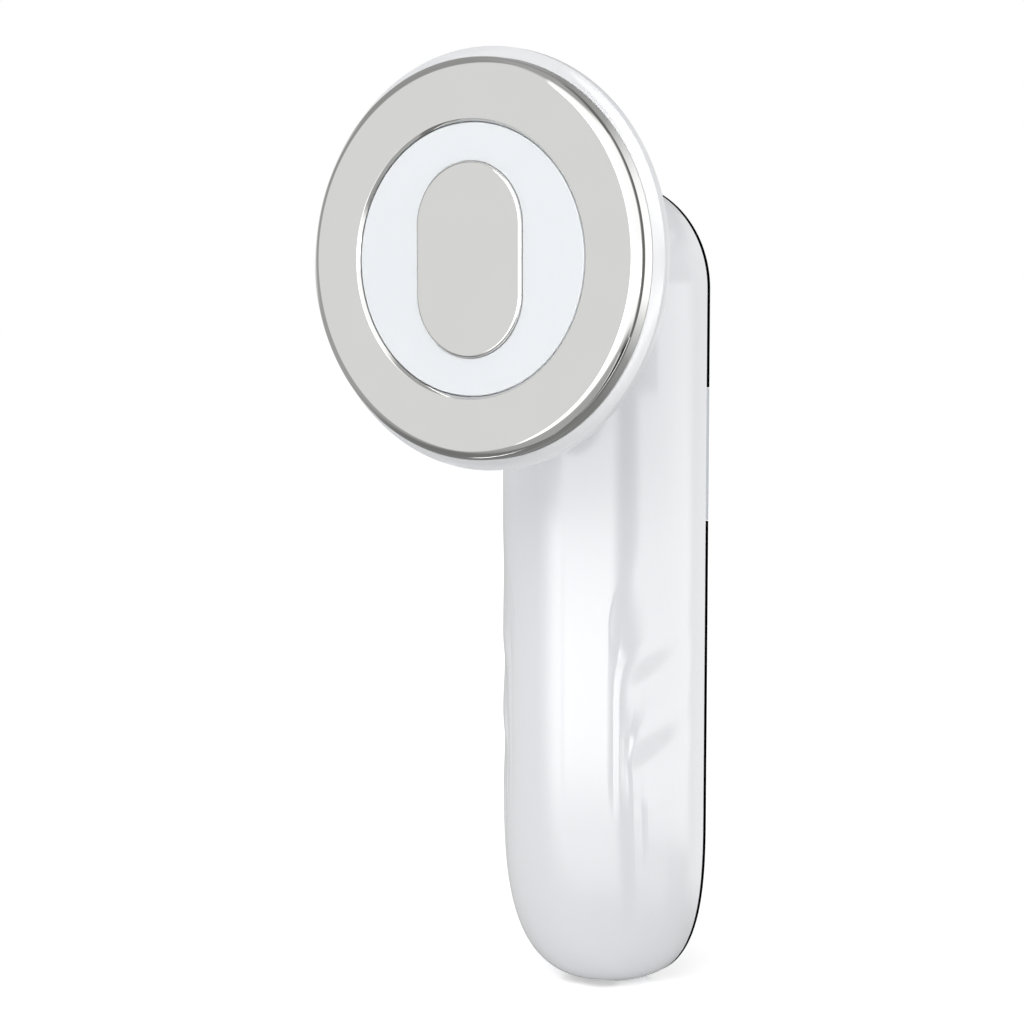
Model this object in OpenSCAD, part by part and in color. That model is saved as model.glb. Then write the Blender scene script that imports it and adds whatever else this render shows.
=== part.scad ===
// Hand-held facial toning device: a round electrode head on an upright grip
// with a flat back. Millimetres, +Z up along the grip, the electrode face looks
// towards -Y and the flat back towards +Y. The origin is the bottom centre of
// the whole device. Head parts are placed by their distance behind the
// electrode face, grip parts by their distance in front of the flat back.

/* [Overall] */
// Distance from the electrode face to the flat back
device_depth = 45.4; // [43:0.2:52]
// Height of the head's axis above the bottom end
head_height = 126; // [122:1:150]

/* [Head electrodes] */
// Width of the flat face of the ring electrode
ring_flat_w = 7.9; // [7.2:0.1:9]
// Radius of the rounded outer edge of the ring electrode
ring_edge = 1.8; // [1:0.1:2.4]
// Sheet thickness of both electrodes
electrode_t = 1.4; // [1:0.1:1.6]
// Depth of the ring electrode's outer wall
ring_wall_h = 4.6; // [3.8:0.1:5]
// Half the width of the long centre electrode
centre_r = 10.1; // [9:0.1:10.6]
// Distance from the head's axis to the centres of its round ends
centre_half = 5.4; // [3:0.1:5.8]
// Width of the gaps that part the electrodes from the light window
electrode_gap = 0.25; // [0.2:0.05:0.3]

/* [Light window] */
// How far the light window lies below the electrode face
window_recess = 0.9; // [0.1:0.05:1]
// Thickness of the light window
window_t = 1.7; // [1.5:0.1:2.6]
// Width of the rim that holds the light window under the ring electrode
window_rim = 1.9; // [1.4:0.1:2]
// Thickness of the gasket on that rim
gasket_t = 0.3; // [0.2:0.05:0.4]

/* [Head casing] */
// Outer radius of the head
head_r = 33.6; // [31:0.1:37]
// Width of the bezel beside the ring electrode
bezel_w = 1.7; // [1.5:0.1:2.4]
// Distance from the electrode face to the bezel's front lip
bezel_front = 3; // [2.4:0.1:3.4]
// Visible depth of the bezel
bezel_h = 1.5; // [1.2:0.1:2]
// Depth of the spigot that centres the bezel in the head cup
bezel_spigot = 1.2; // [0.9:0.1:1.4]
// Wall thickness of the head cup
cup_wall = 2; // [1.6:0.1:2.2]
// Depth over which the head cup narrows to the stem
cup_taper = 16.2; // [15:0.2:18]
// Slope of the head cup's side at its front edge, in millimetres per millimetre
cup_slope = 0.76; // [0.7:0.02:1]
// Thickness of the electrode carrier's plate
carrier_t = 1.6; // [1.4:0.1:2]
// Number of light-emitting diodes behind the window
led_count = 10; // [4:1:12]

/* [Stem] */
// Distance from the grip's arched outline to the stem inside it
stem_margin = 5.2; // [4.7:0.1:5.6]
// Distance of the stem's axis below the head's axis
stem_drop = 4.5; // [3:0.1:6]
// Radius of the lead passage through the stem
stem_bore_r = 9.6; // [8:0.1:10]
// Height of the ring nut that clamps the stem
nut_h = 3; // [2.4:0.1:3.2]

/* [Grip] */
// Half the width of the grip
grip_half_w = 18.6; // [18:0.1:21]
// Depth of the grip
grip_depth = 20.5; // [20:0.1:23]
// Depth of the straight side wall beside the back cover
side_wall = 2.1; // [1.6:0.1:3]
// Height of the rounded bottom, seen from the back
bottom_h = 31.5; // [24:0.5:36]
// Squareness of the rounded bottom, seen from the back
bottom_power = 3; // [2.4:0.1:4]
// Height over which the front curves back to the bottom
front_h = 63; // [56:1:70]
// Squareness of that front curve
front_power = 3.8; // [3:0.1:4.4]
// Wall thickness of the front shell
wall = 2; // [1.6:0.1:2.2]

/* [Finger dishes] */
// Depth of the finger dishes in both sides of the grip
dish_depth = 0.5; // [0:0.1:1]
// Height of one finger dish
dish_pitch = 14; // [12:0.5:16]
// Height of the middle of the uppermost dish at its front edge
dish_top = 64; // [58:0.5:66]
// Angle from the front at which the uppermost dish starts
dish_angle = 36.5; // [30:0.5:44]
// How much further back each lower dish starts, in degrees
dish_angle_step = 8; // [4:0.5:10]
// Rise of the dishes towards the back, in millimetres per millimetre
dish_rise = 0.5; // [0:0.05:0.8]

/* [Back] */
// Thickness of the two panels and the control plate
panel_t = 0.7; // [0.6:0.1:1]
// Distance from the centre of the grip's arch down to the control plate
control_drop = 16.8; // [16.4:0.1:20]
// Height of the control plate
control_h = 22.6; // [20:0.2:26]
// Gap between the control plate and each panel
panel_gap = 0.15; // [0.1:0.05:0.3]
// Thickness of the rear frame
frame_t = 1.4; // [1.2:0.1:1.8]
// Thickness of the seal under the rear frame
seal_t = 0.4; // [0.3:0.05:0.6]
// Width of the front shell's rim around the rear frame
rim_w = 1.1; // [0.9:0.1:1.3]

/* [Keys] */
// Radius of the round keys
key_r = 3.9; // [3.4:0.1:4.3]
// Distance between the two keys' edges
key_space = 2.8; // [2.4:0.1:3.2]
// Travel of a key
key_travel = 0.5; // [0.3:0.05:0.5]
// How far a key lies below the back
key_recess = 0.3; // [0.2:0.05:0.4]
// Gap around a key
key_gap = 0.15; // [0.1:0.05:0.2]
// Thickness of the flange that keeps a key in its hole
key_flange_t = 0.8; // [0.6:0.1:0.9]

/* [Electronics] */
// Thickness of the circuit boards
board_t = 1.2; // [0.8:0.1:1.4]
// Gap between the main board and the screw posts beside it
board_gap = 0.3; // [0.2:0.1:1]
// Height of the main board's bottom edge
board_low = 4.6; // [4.5:0.1:6]
// Thickness of the battery cell
cell_t = 5.6; // [4:0.1:6]
// Gap between the battery tray's corners and the front shell
tray_gap = 0.8; // [0.5:0.1:2]
// Height of the battery tray's lower end above the lower screw posts
tray_rise = 12; // [9:0.5:20]
// Width of the charging socket's shell
socket_w = 8.94; // [8.9:0.01:9]
// Height of the charging socket's shell
socket_h = 3.16; // [3.1:0.01:3.2]
// Length of the charging socket's shell
socket_l = 7.4; // [7:0.1:8]

/* [Vibration motor] */
// Radius of the motor can
motor_r = 3; // [2.5:0.1:3.1]
// Length of the motor can
motor_l = 10; // [8:0.5:11]
// Radius of the motor shaft
motor_shaft_r = 0.5; // [0.4:0.05:0.6]
// Length of the eccentric weight
weight_l = 4; // [3:0.5:5]

/* [Hidden] */
$fn = 64;

// Colours
chrome = [0.80, 0.80, 0.79];
milk = [0.93, 0.94, 0.95];
shell_white = [0.96, 0.96, 0.97];
inner_grey = [0.45, 0.46, 0.48];
rubber_dark = [0.12, 0.12, 0.13];
gloss_black = [0.03, 0.03, 0.035];
board_green = [0.06, 0.30, 0.18];
steel = [0.62, 0.63, 0.65];
copper = [0.78, 0.47, 0.28];

// Places along the depth
face_y = -device_depth / 2;
back_y = device_depth / 2;
function behind_face(d) = face_y + d;
function before_back(d) = back_y - d;

slip = 0.1;        // clearance of parts that slide into each other
cut = 1;           // how far a cut reaches past a face

// Head, measured behind the electrode face
ring_r = head_r - bezel_w - slip;
ring_flat_r = ring_r - ring_edge;
ring_bore_r = ring_flat_r - ring_flat_w;
gasket_front = electrode_t;
rim_front = gasket_front + gasket_t;
window_back = window_recess + window_t;
window_r = ring_bore_r - electrode_gap;
window_rim_r = window_r + window_rim;
centre_hole_r = centre_r + electrode_gap;
pedestal_r = centre_r - 0.6;
shelf_w = 1.4;          // ledge of the carrier under the window's inner edge
window_shelf_r = centre_hole_r + shelf_w;
land_in_r = window_rim_r + 2 * slip;
land_out_r = ring_r - electrode_t - slip;
land_web = 0.7;         // material of the carrier beside a hole
led_w = 2.4;
led_h = 0.8;
light_gap = 1.1;        // air between the diodes and the window
led_board_front = window_back + light_gap + led_h;
plate_front = led_board_front + board_t;
plate_back = plate_front + carrier_t;
bezel_back = bezel_front + bezel_h;
bezel_in_r = ring_r + slip;
bezel_shoulder = 1.2;   // step between the bezel's side and its spigot
spigot_wall = 1;
spigot_r = head_r - bezel_shoulder;
spigot_in_r = spigot_r - spigot_wall;
bezel_seal_t = 0.3;
carrier_rim = 0.5;
carrier_r = land_out_r + carrier_rim;
cup_step = 1.2;         // straight part of the cup's side behind the bezel
cup_curve_front = bezel_back + cup_step;
cup_back = cup_curve_front + cup_taper;
neck_step = 0.5;
stem_r = grip_half_w - stem_margin;
neck_r = stem_r + neck_step;
pin_r = 0.8;
pin_end = plate_back + 0.1;
ring_pin_r = land_in_r + pin_r + land_web;
ring_pins_n = 3;
ring_pin_start = 30;
screw_r = 0.9;
screw_head_r = 1.9;
screw_head_h = 1.2;
carrier_screw_pcr = land_in_r + screw_head_r + land_web;
carrier_screw_seat = electrode_t + 2;
carrier_screw_end = plate_back + 1.6;
carrier_screws_n = 3;
boss_r = screw_r + 1.3;
tip_gap = 0.2;          // free depth of a pilot hole past its screw
boss_floor = 0.4;

// Grip, measured in front of the flat back
seam = panel_t;
frame_front = seam + frame_t;
ledge = frame_front + seal_t;
ellipse_d = grip_depth - panel_t - side_wall;
cavity_side = panel_t + side_wall - ledge;
arch_z = head_height - stem_drop; // centre of the arch at the grip's top
grip_top = arch_z + grip_half_w;
inner_half_w = grip_half_w - wall;

// Stem, concentric with the arch
collar_end = 9;    // distance of the collar's flat end from the back
collar_ring_h = 2;
collar_w = 1.6;
collar_r = stem_r + collar_w;
nut_r = collar_r - 0.4;
nut_notch_r = 0.8;
nut_front = collar_end - slip;
nut_back = nut_front - nut_h;
stem_end = nut_back - 0.4;
thread_step = 1.1;      // shoulder of the stem that meets the nut
thread_r = stem_r - thread_step;
nut_bore_r = thread_r + slip;
stem_front = cup_back - cup_wall;
seal_groove_h = 1.3;
seal_groove_w = 1.7;
seal_groove = collar_end + collar_ring_h + 0.4;
seal_groove_r = stem_r - seal_groove_h;
stem_seal_r = seal_groove_h / 2 - 0.02;

// Back electronics, measured in front of the flat back
key_face = key_recess;
key_shoulder = frame_front + slip;
key_flange_front = key_shoulder + key_flange_t;
key_flange_r = key_r + 0.9;
plunger_h = 0.4;
plunger_gap = 0.1;
plunger_top = key_flange_front + key_travel + plunger_gap;
switch_h = 1.4;
board_back = plunger_top + plunger_h + switch_h;
board_front = board_back + board_t;
control_high = arch_z - control_drop;
control_low = control_high - control_h;
control_z = control_high - control_h / 2;
key_z = [for (s = [1, -1]) control_z + s * (key_r + key_space / 2)];
board_top = arch_z - nut_r - 2.5;

// Screw posts of the rear frame
post_wall = 1.4;
post_r = screw_r + post_wall;
post_x = inner_half_w - post_r - 1;
post_z = [19, board_top - 5.4];
board_half_w = post_x - post_r - board_gap;
frame_screw_l = 5.5;    // below the ledge
frame_screw_recess = 0.1;
frame_screw_seat = seam + screw_head_h - 0.2;

// Half the cavity's width at distance d in front of the back
function cavity_half_w(d) = inner_half_w * sin(acos((d - panel_t - side_wall) / (ellipse_d - wall)));

// Battery, measured in front of the flat back
cell_gap = 0.6;         // from the main board to the cell
cell_back = board_front + cell_gap;
cell_front = cell_back + cell_t;
guard_h = 2.6;
guard_inset = [1, 0.6]; // of the protection board inside the cell's width and thickness
guard_slack = 1;        // room for the leads above the protection board
tray_wall = 0.7;
tray_front = cell_front + tray_wall;
tray_half_w = cavity_half_w(tray_front) - tray_gap;
tray_low = post_z[0] + tray_rise;
tray_high = control_z - 7.3;
cell_low = tray_low + tray_wall + slip;
cell_high = tray_high - tray_wall - guard_slack - guard_h;
cell_w = 2 * (tray_half_w - tray_wall - slip);
tray_lug_half_w = 4;
tray_lug_t = 2.4;
tray_screw_z = [tray_low - 3.4, control_z];
tray_screw_l = 1.8;     // in the tray's lug
tray_screw_head_h = 0.9;
battery_lead_x = 5;
battery_lead_d = (cell_back + cell_front) / 2;
rib_x = 3;
rib_w = 1.2;
rib_front = grip_depth - wall - 0.9;

// Charging socket
socket_d = board_front + socket_h / 2;  // its axis in front of the back
socket_mouth = 2;
socket_sheet = 0.3;
socket_room = 0.8;      // around the socket's shell, filled by its seal
socket_seal_h = 2.5;
seal_slip = 0.05;

// Vibration motor
saddle_floor = 0.6;
saddle_wall = 1.2;
saddle_inset = 0.5;
motor_d = plate_back + motor_r + saddle_floor;   // its axis behind the face
motor_up = 6.5;                                  // its axis above the head's axis
motor_x = -9;
motor_end = motor_x + motor_l;
motor_nose_r = 1.2;
motor_nose_h = 0.5;
weight_r = motor_r - 0.1;
weight_web = 0.4;       // material of the weight above its shaft
weight_x = motor_end + motor_nose_h + 0.5;
shaft_end = weight_x + weight_l + 0.4;

// ---------------------------------------------------------------- frames

// Children drawn with +Z pointing back from the electrode face, on the head's axis
module on_head() {
    translate([0, face_y, head_height]) rotate([-90, 0, 0]) children();
}

// Children drawn in X and height, given thickness t from distance d before the back
module on_back(d, t) {
    translate([0, before_back(d), 0]) rotate([90, 0, 0]) linear_extrude(t) children();
}

module box(low, high) {
    translate(low) cube(high - low);
}

module disc(d0, d1, r) {
    translate([0, 0, d0]) cylinder(r = r, h = d1 - d0);
}

module tube(d0, d1, r_out, r_in) {
    difference() {
        disc(d0, d1, r_out);
        disc(d0 - cut, d1 + cut, r_in);
    }
}

// Long rounded outline: two round ends of radius r, centres half above and below
module stadium(r, half) {
    union() {
        translate([0, half]) circle(r);
        translate([0, -half]) circle(r);
        square([2 * r, 2 * half], center = true);
    }
}

module long_disc(d0, d1, r) {
    translate([0, 0, d0]) linear_extrude(d1 - d0) stadium(r, centre_half);
}

// Flat slot lying in X, width w and height h
module slot_2d(w, h) {
    union() {
        for (s = [-1, 1]) translate([s * (w - h) / 2, 0]) circle(h / 2);
        square([w - h, h], center = true);
    }
}

module around(n, r, start = 90) {
    for (i = [0:n - 1]) rotate(start + i * 360 / n) translate([r, 0, 0]) children();
}

// ------------------------------------------------------- grip's outline

// Rows run down the grip, from the arch's top (t = 0) to the bottom end. A row is
// [half-width factor, height, depth factor] for an outline inset by the amount in.
arch_rows = 9;
top_rows = 6;
dish_rows = 26;
end_rows = 11;
dish_zone = [dish_top + dish_pitch, bottom_h];
row_count = arch_rows + top_rows + dish_rows + end_rows;

function power_curve(t, p) = pow(max(0, 1 - pow(t, p)), 1 / p);

function front_factor(z, in) =
    z >= front_h ? 1 : power_curve((front_h - z) / (front_h - in), front_power);

function row_height(i, in) =
    i <= arch_rows ? arch_z + (grip_half_w - in) * cos(90 * i / arch_rows)
    : i <= arch_rows + top_rows
        ? arch_z + (dish_zone[0] - arch_z) * (i - arch_rows) / top_rows
    : i <= arch_rows + top_rows + dish_rows
        ? dish_zone[0] + (dish_zone[1] - dish_zone[0]) * (i - arch_rows - top_rows) / dish_rows
    : bottom_h - (bottom_h - in)
        * pow(sin(90 * (i - arch_rows - top_rows - dish_rows) / end_rows), 2 / bottom_power);

function row_half_w(i, in) =
    i <= arch_rows ? (grip_half_w - in) * sin(90 * i / arch_rows)
    : i <= arch_rows + top_rows + dish_rows ? grip_half_w - in
    : (grip_half_w - in)
        * pow(cos(90 * (i - arch_rows - top_rows - dish_rows) / end_rows), 2 / bottom_power);

function row_depth(i, in) =
    i <= arch_rows ? sin(90 * i / arch_rows) : front_factor(row_height(i, in), in);

function right_side(in) = [for (i = [1:row_count - 1]) [row_half_w(i, in), row_height(i, in)]];

// Whole outline seen from the back, inset by the amount in
module outline(in = 0) {
    right = right_side(in);
    n = len(right);
    polygon(concat(
        [[0, row_height(0, in)]], right, [[0, row_height(row_count, in)]],
        [for (i = [1:n]) [-right[n - i][0], right[n - i][1]]]
    ));
}

// -------------------------------------------------------- finger dishes

function ease(t) = let (u = min(1, max(0, t))) u * u * (3 - 2 * u);

// One dish: a cosine hollow in height, starting at its own angle from the front
function one_dish(k, a, z) =
    let (
        start = dish_angle + k * dish_angle_step,
        arc = (a - dish_angle) * PI / 180 * grip_half_w,
        u = (z - dish_rise * arc - (dish_top - k * dish_pitch)) / (dish_pitch / 2)
    )
    abs(u) >= 1 ? 0 : (1 + cos(180 * u)) / 2 * ease((a - start) / 9) * ease((88 - a) / 22);

function dish(a, z) = dish_depth * (one_dish(0, a, z) + one_dish(1, a, z) + one_dish(2, a, z));

// ---------------------------------------------------------- front shell

outer_steps = 28;
inner_steps = 12;
outer_n = outer_steps + 3;
inner_n = inner_steps + 5;
ring_n = outer_n + inner_n;

function turn(j, steps) = -90 + 180 * j / steps;

// A point of the outer face: column 0 and the last column lie on the seam
function outer_point(i, j) =
    let (
        a = turn(min(outer_steps, max(0, j - 1)), outer_steps),
        z = row_height(i, 0),
        w = row_half_w(i, 0),
        sunk = dish(abs(a), z),
        on_seam = j == 0 || j == outer_n - 1,
        d = seam + (on_seam ? 0 : row_depth(i, 0) * (side_wall + ellipse_d * cos(a)))
    )
    [w * sin(a) - sunk * sin(a), before_back(d - sunk * cos(a)), z];

// A point of the inner face, from the right rim over the ledge to the left rim
function inner_point(i, j) =
    let (
        left = j > inner_n / 2,
        k = left ? inner_n - 1 - j : j,
        a = -turn(min(inner_steps, max(0, j - 2)), inner_steps),
        in = k < 2 ? rim_w : wall,
        w = row_half_w(i, in),
        x = k < 3 ? (left ? -w : w) : w * sin(a),
        d = k == 0 ? seam : k < 3 ? ledge
            : ledge + row_depth(i, in) * (cavity_side + (ellipse_d - wall) * cos(a))
    )
    [x, before_back(d), row_height(i, in)];

function shell_point(i, j) = j < outer_n ? outer_point(i, j) : inner_point(i, j - outer_n);

// At both ends every column runs into one of four points: outside, rim, ledge, cavity
function end_group(j) =
    let (k = j - outer_n, m = min(k, inner_n - 1 - k))
    j < outer_n ? 0 : m == 0 ? 1 : m == 1 ? 2 : 3;

end_columns = [0, outer_n, outer_n + 1, outer_n + 3];

function shell_index(i, j) =
    i == 0 ? end_group(j)
    : i == row_count ? 4 + (row_count - 1) * ring_n + end_group(j)
    : 4 + (i - 1) * ring_n + j;

function distinct(f) = f[0] != f[1] && f[1] != f[2] && f[0] != f[2];

module shell_body() {
    points = concat(
        [for (j = end_columns) shell_point(0, j)],
        [for (i = [1:row_count - 1], j = [0:ring_n - 1]) shell_point(i, j)],
        [for (j = end_columns) shell_point(row_count, j)]
    );
    faces = [
        for (i = [0:row_count - 1], j = [0:ring_n - 1])
            let (
                k = (j + 1) % ring_n,
                a = shell_index(i, j), b = shell_index(i, k),
                c = shell_index(i + 1, k), d = shell_index(i + 1, j)
            )
            each [for (f = [[a, b, c], [a, c, d]]) if (distinct(f)) f]
    ];
    polyhedron(points, faces);
}

module front_shell() color(shell_white) {
    difference() {
        union() {
            shell_body();
            collar();
            for (z = post_z, s = [-1, 1]) post(s * post_x, z);
        }
        at_stem() disc(collar_end - cut, device_depth, stem_r + slip);
        for (z = post_z, s = [-1, 1])
            translate([s * post_x, 0, z]) along_depth(ledge - cut, ledge + frame_screw_l + tip_gap, screw_r);
        translate([0, before_back(socket_d), -cut]) linear_extrude(wall + 3 * cut)
            slot_2d(socket_w + 2 * socket_room, socket_h + 2 * socket_room);
    }
}

// A cylinder whose ends are given by their distance in front of the back
module along_depth(d0, d1, r) {
    translate([0, before_back(d0), 0]) rotate([90, 0, 0]) cylinder(r = r, h = d1 - d0);
}

module at_stem() {
    translate([0, back_y, arch_z]) rotate([90, 0, 0]) children();
}

// Collar that the stem's nut bears on: a full ring inside the arch, whose lower
// half runs on to the shell's front wall
module collar() {
    at_stem() disc(collar_end, collar_end + collar_ring_h, collar_r);
    intersection() {
        at_stem() disc(collar_end, grip_depth, collar_r);
        translate([0, 0, arch_z - collar_r - cut]) linear_extrude(collar_r + cut) section(wall / 2);
    }
}

// The grip's cross-section, inset by the amount in
module section(in) {
    steps = 24;
    polygon([for (j = [0:steps]) let (a = turn(j, steps))
        [(grip_half_w - in) * sin(a), before_back(panel_t + side_wall + (ellipse_d - in) * cos(a))]]);
}

// The post grows out of the shell's side wall and stays inside its outer face
module post(x, z) {
    outer_x = abs(x) + post_r;
    front = seam + front_factor(z, 0) * (side_wall + ellipse_d * cos(asin(outer_x / post_half_w(z))));
    translate([x, 0, z]) along_depth(ledge, front - wall / 2, post_r);
}

function post_half_w(z) =
    z >= bottom_h ? grip_half_w : grip_half_w * power_curve((bottom_h - z) / bottom_h, bottom_power);

// ------------------------------------------------------------- the head

module ring_electrode() color(chrome) on_head() {
    steps = 8;
    edge = 0.25;
    rotate_extrude() polygon(concat(
        [[ring_bore_r, edge], [ring_bore_r + edge, 0]],
        [for (i = [0:steps]) [ring_flat_r + ring_edge * sin(90 * i / steps),
                              ring_edge - ring_edge * cos(90 * i / steps)]],
        [[ring_r, ring_wall_h], [land_out_r + slip, ring_wall_h],
         [land_out_r + slip, electrode_t], [ring_bore_r, electrode_t]]
    ));
}

module centre_electrode() color(chrome) on_head() {
    edge = 0.25;
    union() {
        long_disc(edge, electrode_t, centre_r);
        long_disc(0, edge, centre_r - edge);
    }
}

module light_window() color(milk) on_head() {
    difference() {
        union() {
            disc(window_recess, window_back, window_r);
            disc(rim_front, window_back, window_rim_r);
        }
        long_disc(window_recess - cut, window_back + cut, centre_hole_r);
    }
}

module ring_gasket() color(rubber_dark) on_head() {
    tube(gasket_front, rim_front, window_rim_r, window_r + slip / 2);
}

module centre_gasket() color(rubber_dark) on_head() {
    difference() {
        long_disc(electrode_t, window_back, centre_hole_r - slip / 2);
        long_disc(electrode_t - cut, window_back + cut, pedestal_r + slip / 2);
    }
}

module bezel_ring() color(shell_white) on_head() {
    lip = 0.6;
    rotate_extrude() polygon([
        [bezel_in_r, bezel_front], [head_r - lip, bezel_front], [head_r - lip / 3, bezel_front + lip / 3],
        [head_r, bezel_front + lip], [head_r, bezel_back], [spigot_r, bezel_back],
        [spigot_r, bezel_back + bezel_spigot], [spigot_in_r, bezel_back + bezel_spigot],
        [spigot_in_r, ring_wall_h + slip], [bezel_in_r, ring_wall_h + slip]
    ]);
}

module bezel_seal() color(rubber_dark) on_head() {
    tube(bezel_back + bezel_spigot, bezel_back + bezel_spigot + bezel_seal_t, spigot_r, spigot_in_r);
}

module electrode_carrier() color(inner_grey) on_head() {
    difference() {
        union() {
            tube(electrode_t, plate_front, land_out_r, land_in_r);
            disc(ring_wall_h, plate_back, carrier_r);
            long_disc(electrode_t, plate_front, pedestal_r);
            long_disc(window_back, plate_front, window_shelf_r);
        }
        light_well();
        around(ring_pins_n, ring_pin_r, ring_pin_start) disc(0, plate_back + cut, pin_r + slip / 2);
        disc(0, plate_back + cut, pin_r + slip / 2);
        around(carrier_screws_n, carrier_screw_pcr) {
            disc(0, carrier_screw_seat + screw_head_h, screw_head_r + slip);
            disc(0, plate_back + cut, screw_r + slip);
        }
        lead_holes();
    }
}

// The ring-shaped hollow in front of the carrier's plate, which holds the light board
module light_well() {
    difference() {
        disc(electrode_t - cut, plate_front, land_in_r);
        long_disc(electrode_t - 2 * cut, plate_front + cut, window_shelf_r);
        disc(electrode_t - 2 * cut, electrode_t - cut / 2, 1);
    }
}

lead_hole_y = (window_shelf_r + centre_half + land_in_r) / 2;
lead_hole_x = 3;
lead_hole_r = 0.9;
module lead_holes() {
    for (s = [-1, 1])
        translate([s * lead_hole_x, lead_hole_y, 0])
            disc(led_board_front - cut, plate_back + cut, lead_hole_r);
}

module led_board() color(board_green) on_head() {
    difference() {
        disc(led_board_front, plate_front, land_in_r - slip);
        long_disc(led_board_front - cut, plate_front + cut, window_shelf_r + slip);
        lead_holes();
    }
}

module leds() color(milk) on_head() {
    led_circle_r = (land_in_r + window_shelf_r + centre_half) / 2 + 0.4;
    around(led_count, led_circle_r, 90 + 180 / led_count)
        translate([-led_w / 2, -led_w / 2, led_board_front - led_h]) cube([led_w, led_w, led_h]);
}

module contact_pins() color(steel) on_head() {
    around(ring_pins_n, ring_pin_r, ring_pin_start) disc(electrode_t, pin_end, pin_r);
    disc(electrode_t, pin_end, pin_r);
}

module carrier_screws() color(steel) on_head() {
    around(carrier_screws_n, carrier_screw_pcr) union() {
        disc(carrier_screw_seat, carrier_screw_seat + screw_head_h, screw_head_r);
        disc(carrier_screw_seat, carrier_screw_end, screw_r);
    }
}

// The cup's outside runs down its depth in rings, [radius, depth, drop of the ring's
// centre below the head's axis], from the bezel to the stem
cup_rows = 15;
cup_sides = 48;
cup_bulge = 6;      // how far the rim's slope carries back into the bowl
cup_flare = 5.5;    // how far the neck's straight line carries forward

// A smooth curve from a to d that leaves towards b and arrives from c
function bezier(a, b, c, d, t) =
    a * pow(1 - t, 3) + 3 * b * pow(1 - t, 2) * t + 3 * c * (1 - t) * t * t + d * pow(t, 3);

function cup_ring(t) = [
    bezier(head_r, head_r - cup_slope * cup_bulge, neck_r, neck_r, t),
    bezier(cup_curve_front, cup_curve_front + cup_bulge, cup_back - cup_flare, cup_back, t),
    stem_drop * ease(t)
];

module cup_body() {
    rings = concat([[head_r, bezel_back + slip, 0]], [for (i = [0:cup_rows]) cup_ring(i / cup_rows)]);
    n = len(rings);
    points = [for (r = rings, k = [0:cup_sides - 1])
        [r[0] * cos(360 * k / cup_sides), r[2] + r[0] * sin(360 * k / cup_sides), r[1]]];
    faces = concat(
        [[for (k = [0:cup_sides - 1]) k]],
        [for (i = [0:n - 2], k = [0:cup_sides - 1])
            let (a = i * cup_sides + k, b = i * cup_sides + (k + 1) % cup_sides)
            each [[a, a + cup_sides, b + cup_sides], [a, b + cup_sides, b]]],
        [[for (k = [cup_sides - 1:-1:0]) (n - 1) * cup_sides + k]]
    );
    polyhedron(points, faces);
}

// Round hollow on the head's axis, one wall inside the cup's narrowest side
module cup_hollow() {
    rotate_extrude() polygon(concat(
        [[0, bezel_back - cut], [carrier_r - 1, bezel_back - cut]],
        [for (i = [0:cup_rows]) let (r = cup_ring(i / cup_rows)) if (r[1] - cup_wall > plate_back)
            [r[0] - r[2] - cup_wall, r[1] - cup_wall]],
        [[0, cup_back - cup_wall]]
    ));
    disc(bezel_back - cut, bezel_back + bezel_spigot + bezel_seal_t, spigot_r + slip);
    disc(bezel_back - cut, plate_back + bezel_seal_t, carrier_r + slip);
}

module head_cup() color(shell_white) {
    difference() {
        union() {
            on_head() cup_body();
            stem();
        }
        difference() {
            on_head() cup_hollow();
            on_head() around(carrier_screws_n, carrier_screw_pcr)
                disc(plate_back, carrier_screw_end + tip_gap + boss_floor, boss_r);
        }
        on_head() around(carrier_screws_n, carrier_screw_pcr)
            disc(plate_back - cut, carrier_screw_end + tip_gap, screw_r);
        at_stem() disc(0, device_depth - cup_curve_front - cup_taper / 2, stem_bore_r);
    }
}

module stem() {
    from = device_depth - stem_front;
    at_stem() difference() {
        union() {
            disc(collar_end + slip, from, stem_r);
            disc(stem_end, from, thread_r);
        }
        tube(seal_groove, seal_groove + seal_groove_w, stem_r + cut, seal_groove_r);
    }
}

module stem_seal() color(rubber_dark) at_stem()
    translate([0, 0, seal_groove + seal_groove_w / 2]) rotate_extrude()
        translate([(stem_r + seal_groove_r) / 2, 0]) circle(stem_seal_r, $fn = 24);

module stem_nut() color(inner_grey) at_stem() difference() {
    disc(nut_back, nut_front, nut_r);
    disc(nut_back - cut, nut_front + cut, nut_bore_r);
    around(6, nut_r) disc(nut_back - cut, nut_front + cut, nut_notch_r);
}

// ------------------------------------------------------ vibration motor

module at_motor() {
    translate([0, behind_face(motor_d), head_height + motor_up]) rotate([0, 90, 0]) children();
}

module motor_can() color(steel) at_motor() union() {
    disc(motor_x, motor_end, motor_r);
    disc(motor_end, motor_end + motor_nose_h, motor_nose_r);
}

module motor_saddle() color(rubber_dark) difference() {
    half_w = motor_r + saddle_wall;
    box([motor_x + saddle_inset, behind_face(plate_back), head_height + motor_up - half_w],
        [motor_end - saddle_inset, behind_face(motor_d + saddle_wall), head_height + motor_up + half_w]);
    at_motor() disc(motor_x - cut, motor_end + cut, motor_r + seal_slip / 2);
}

// Half-round weight on its shaft, hanging down at rest
module eccentric_weight() color(steel) at_motor() union() {
    disc(motor_end + motor_nose_h + slip, shaft_end, motor_shaft_r);
    intersection() {
        disc(weight_x, weight_x + weight_l, weight_r);
        translate([-motor_shaft_r - weight_web, -weight_r - cut, weight_x - cut])
            cube([weight_r + cut + motor_shaft_r + weight_web, 2 * (weight_r + cut), weight_l + 2 * cut]);
    }
}

// ------------------------------------------------------------- the back

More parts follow.
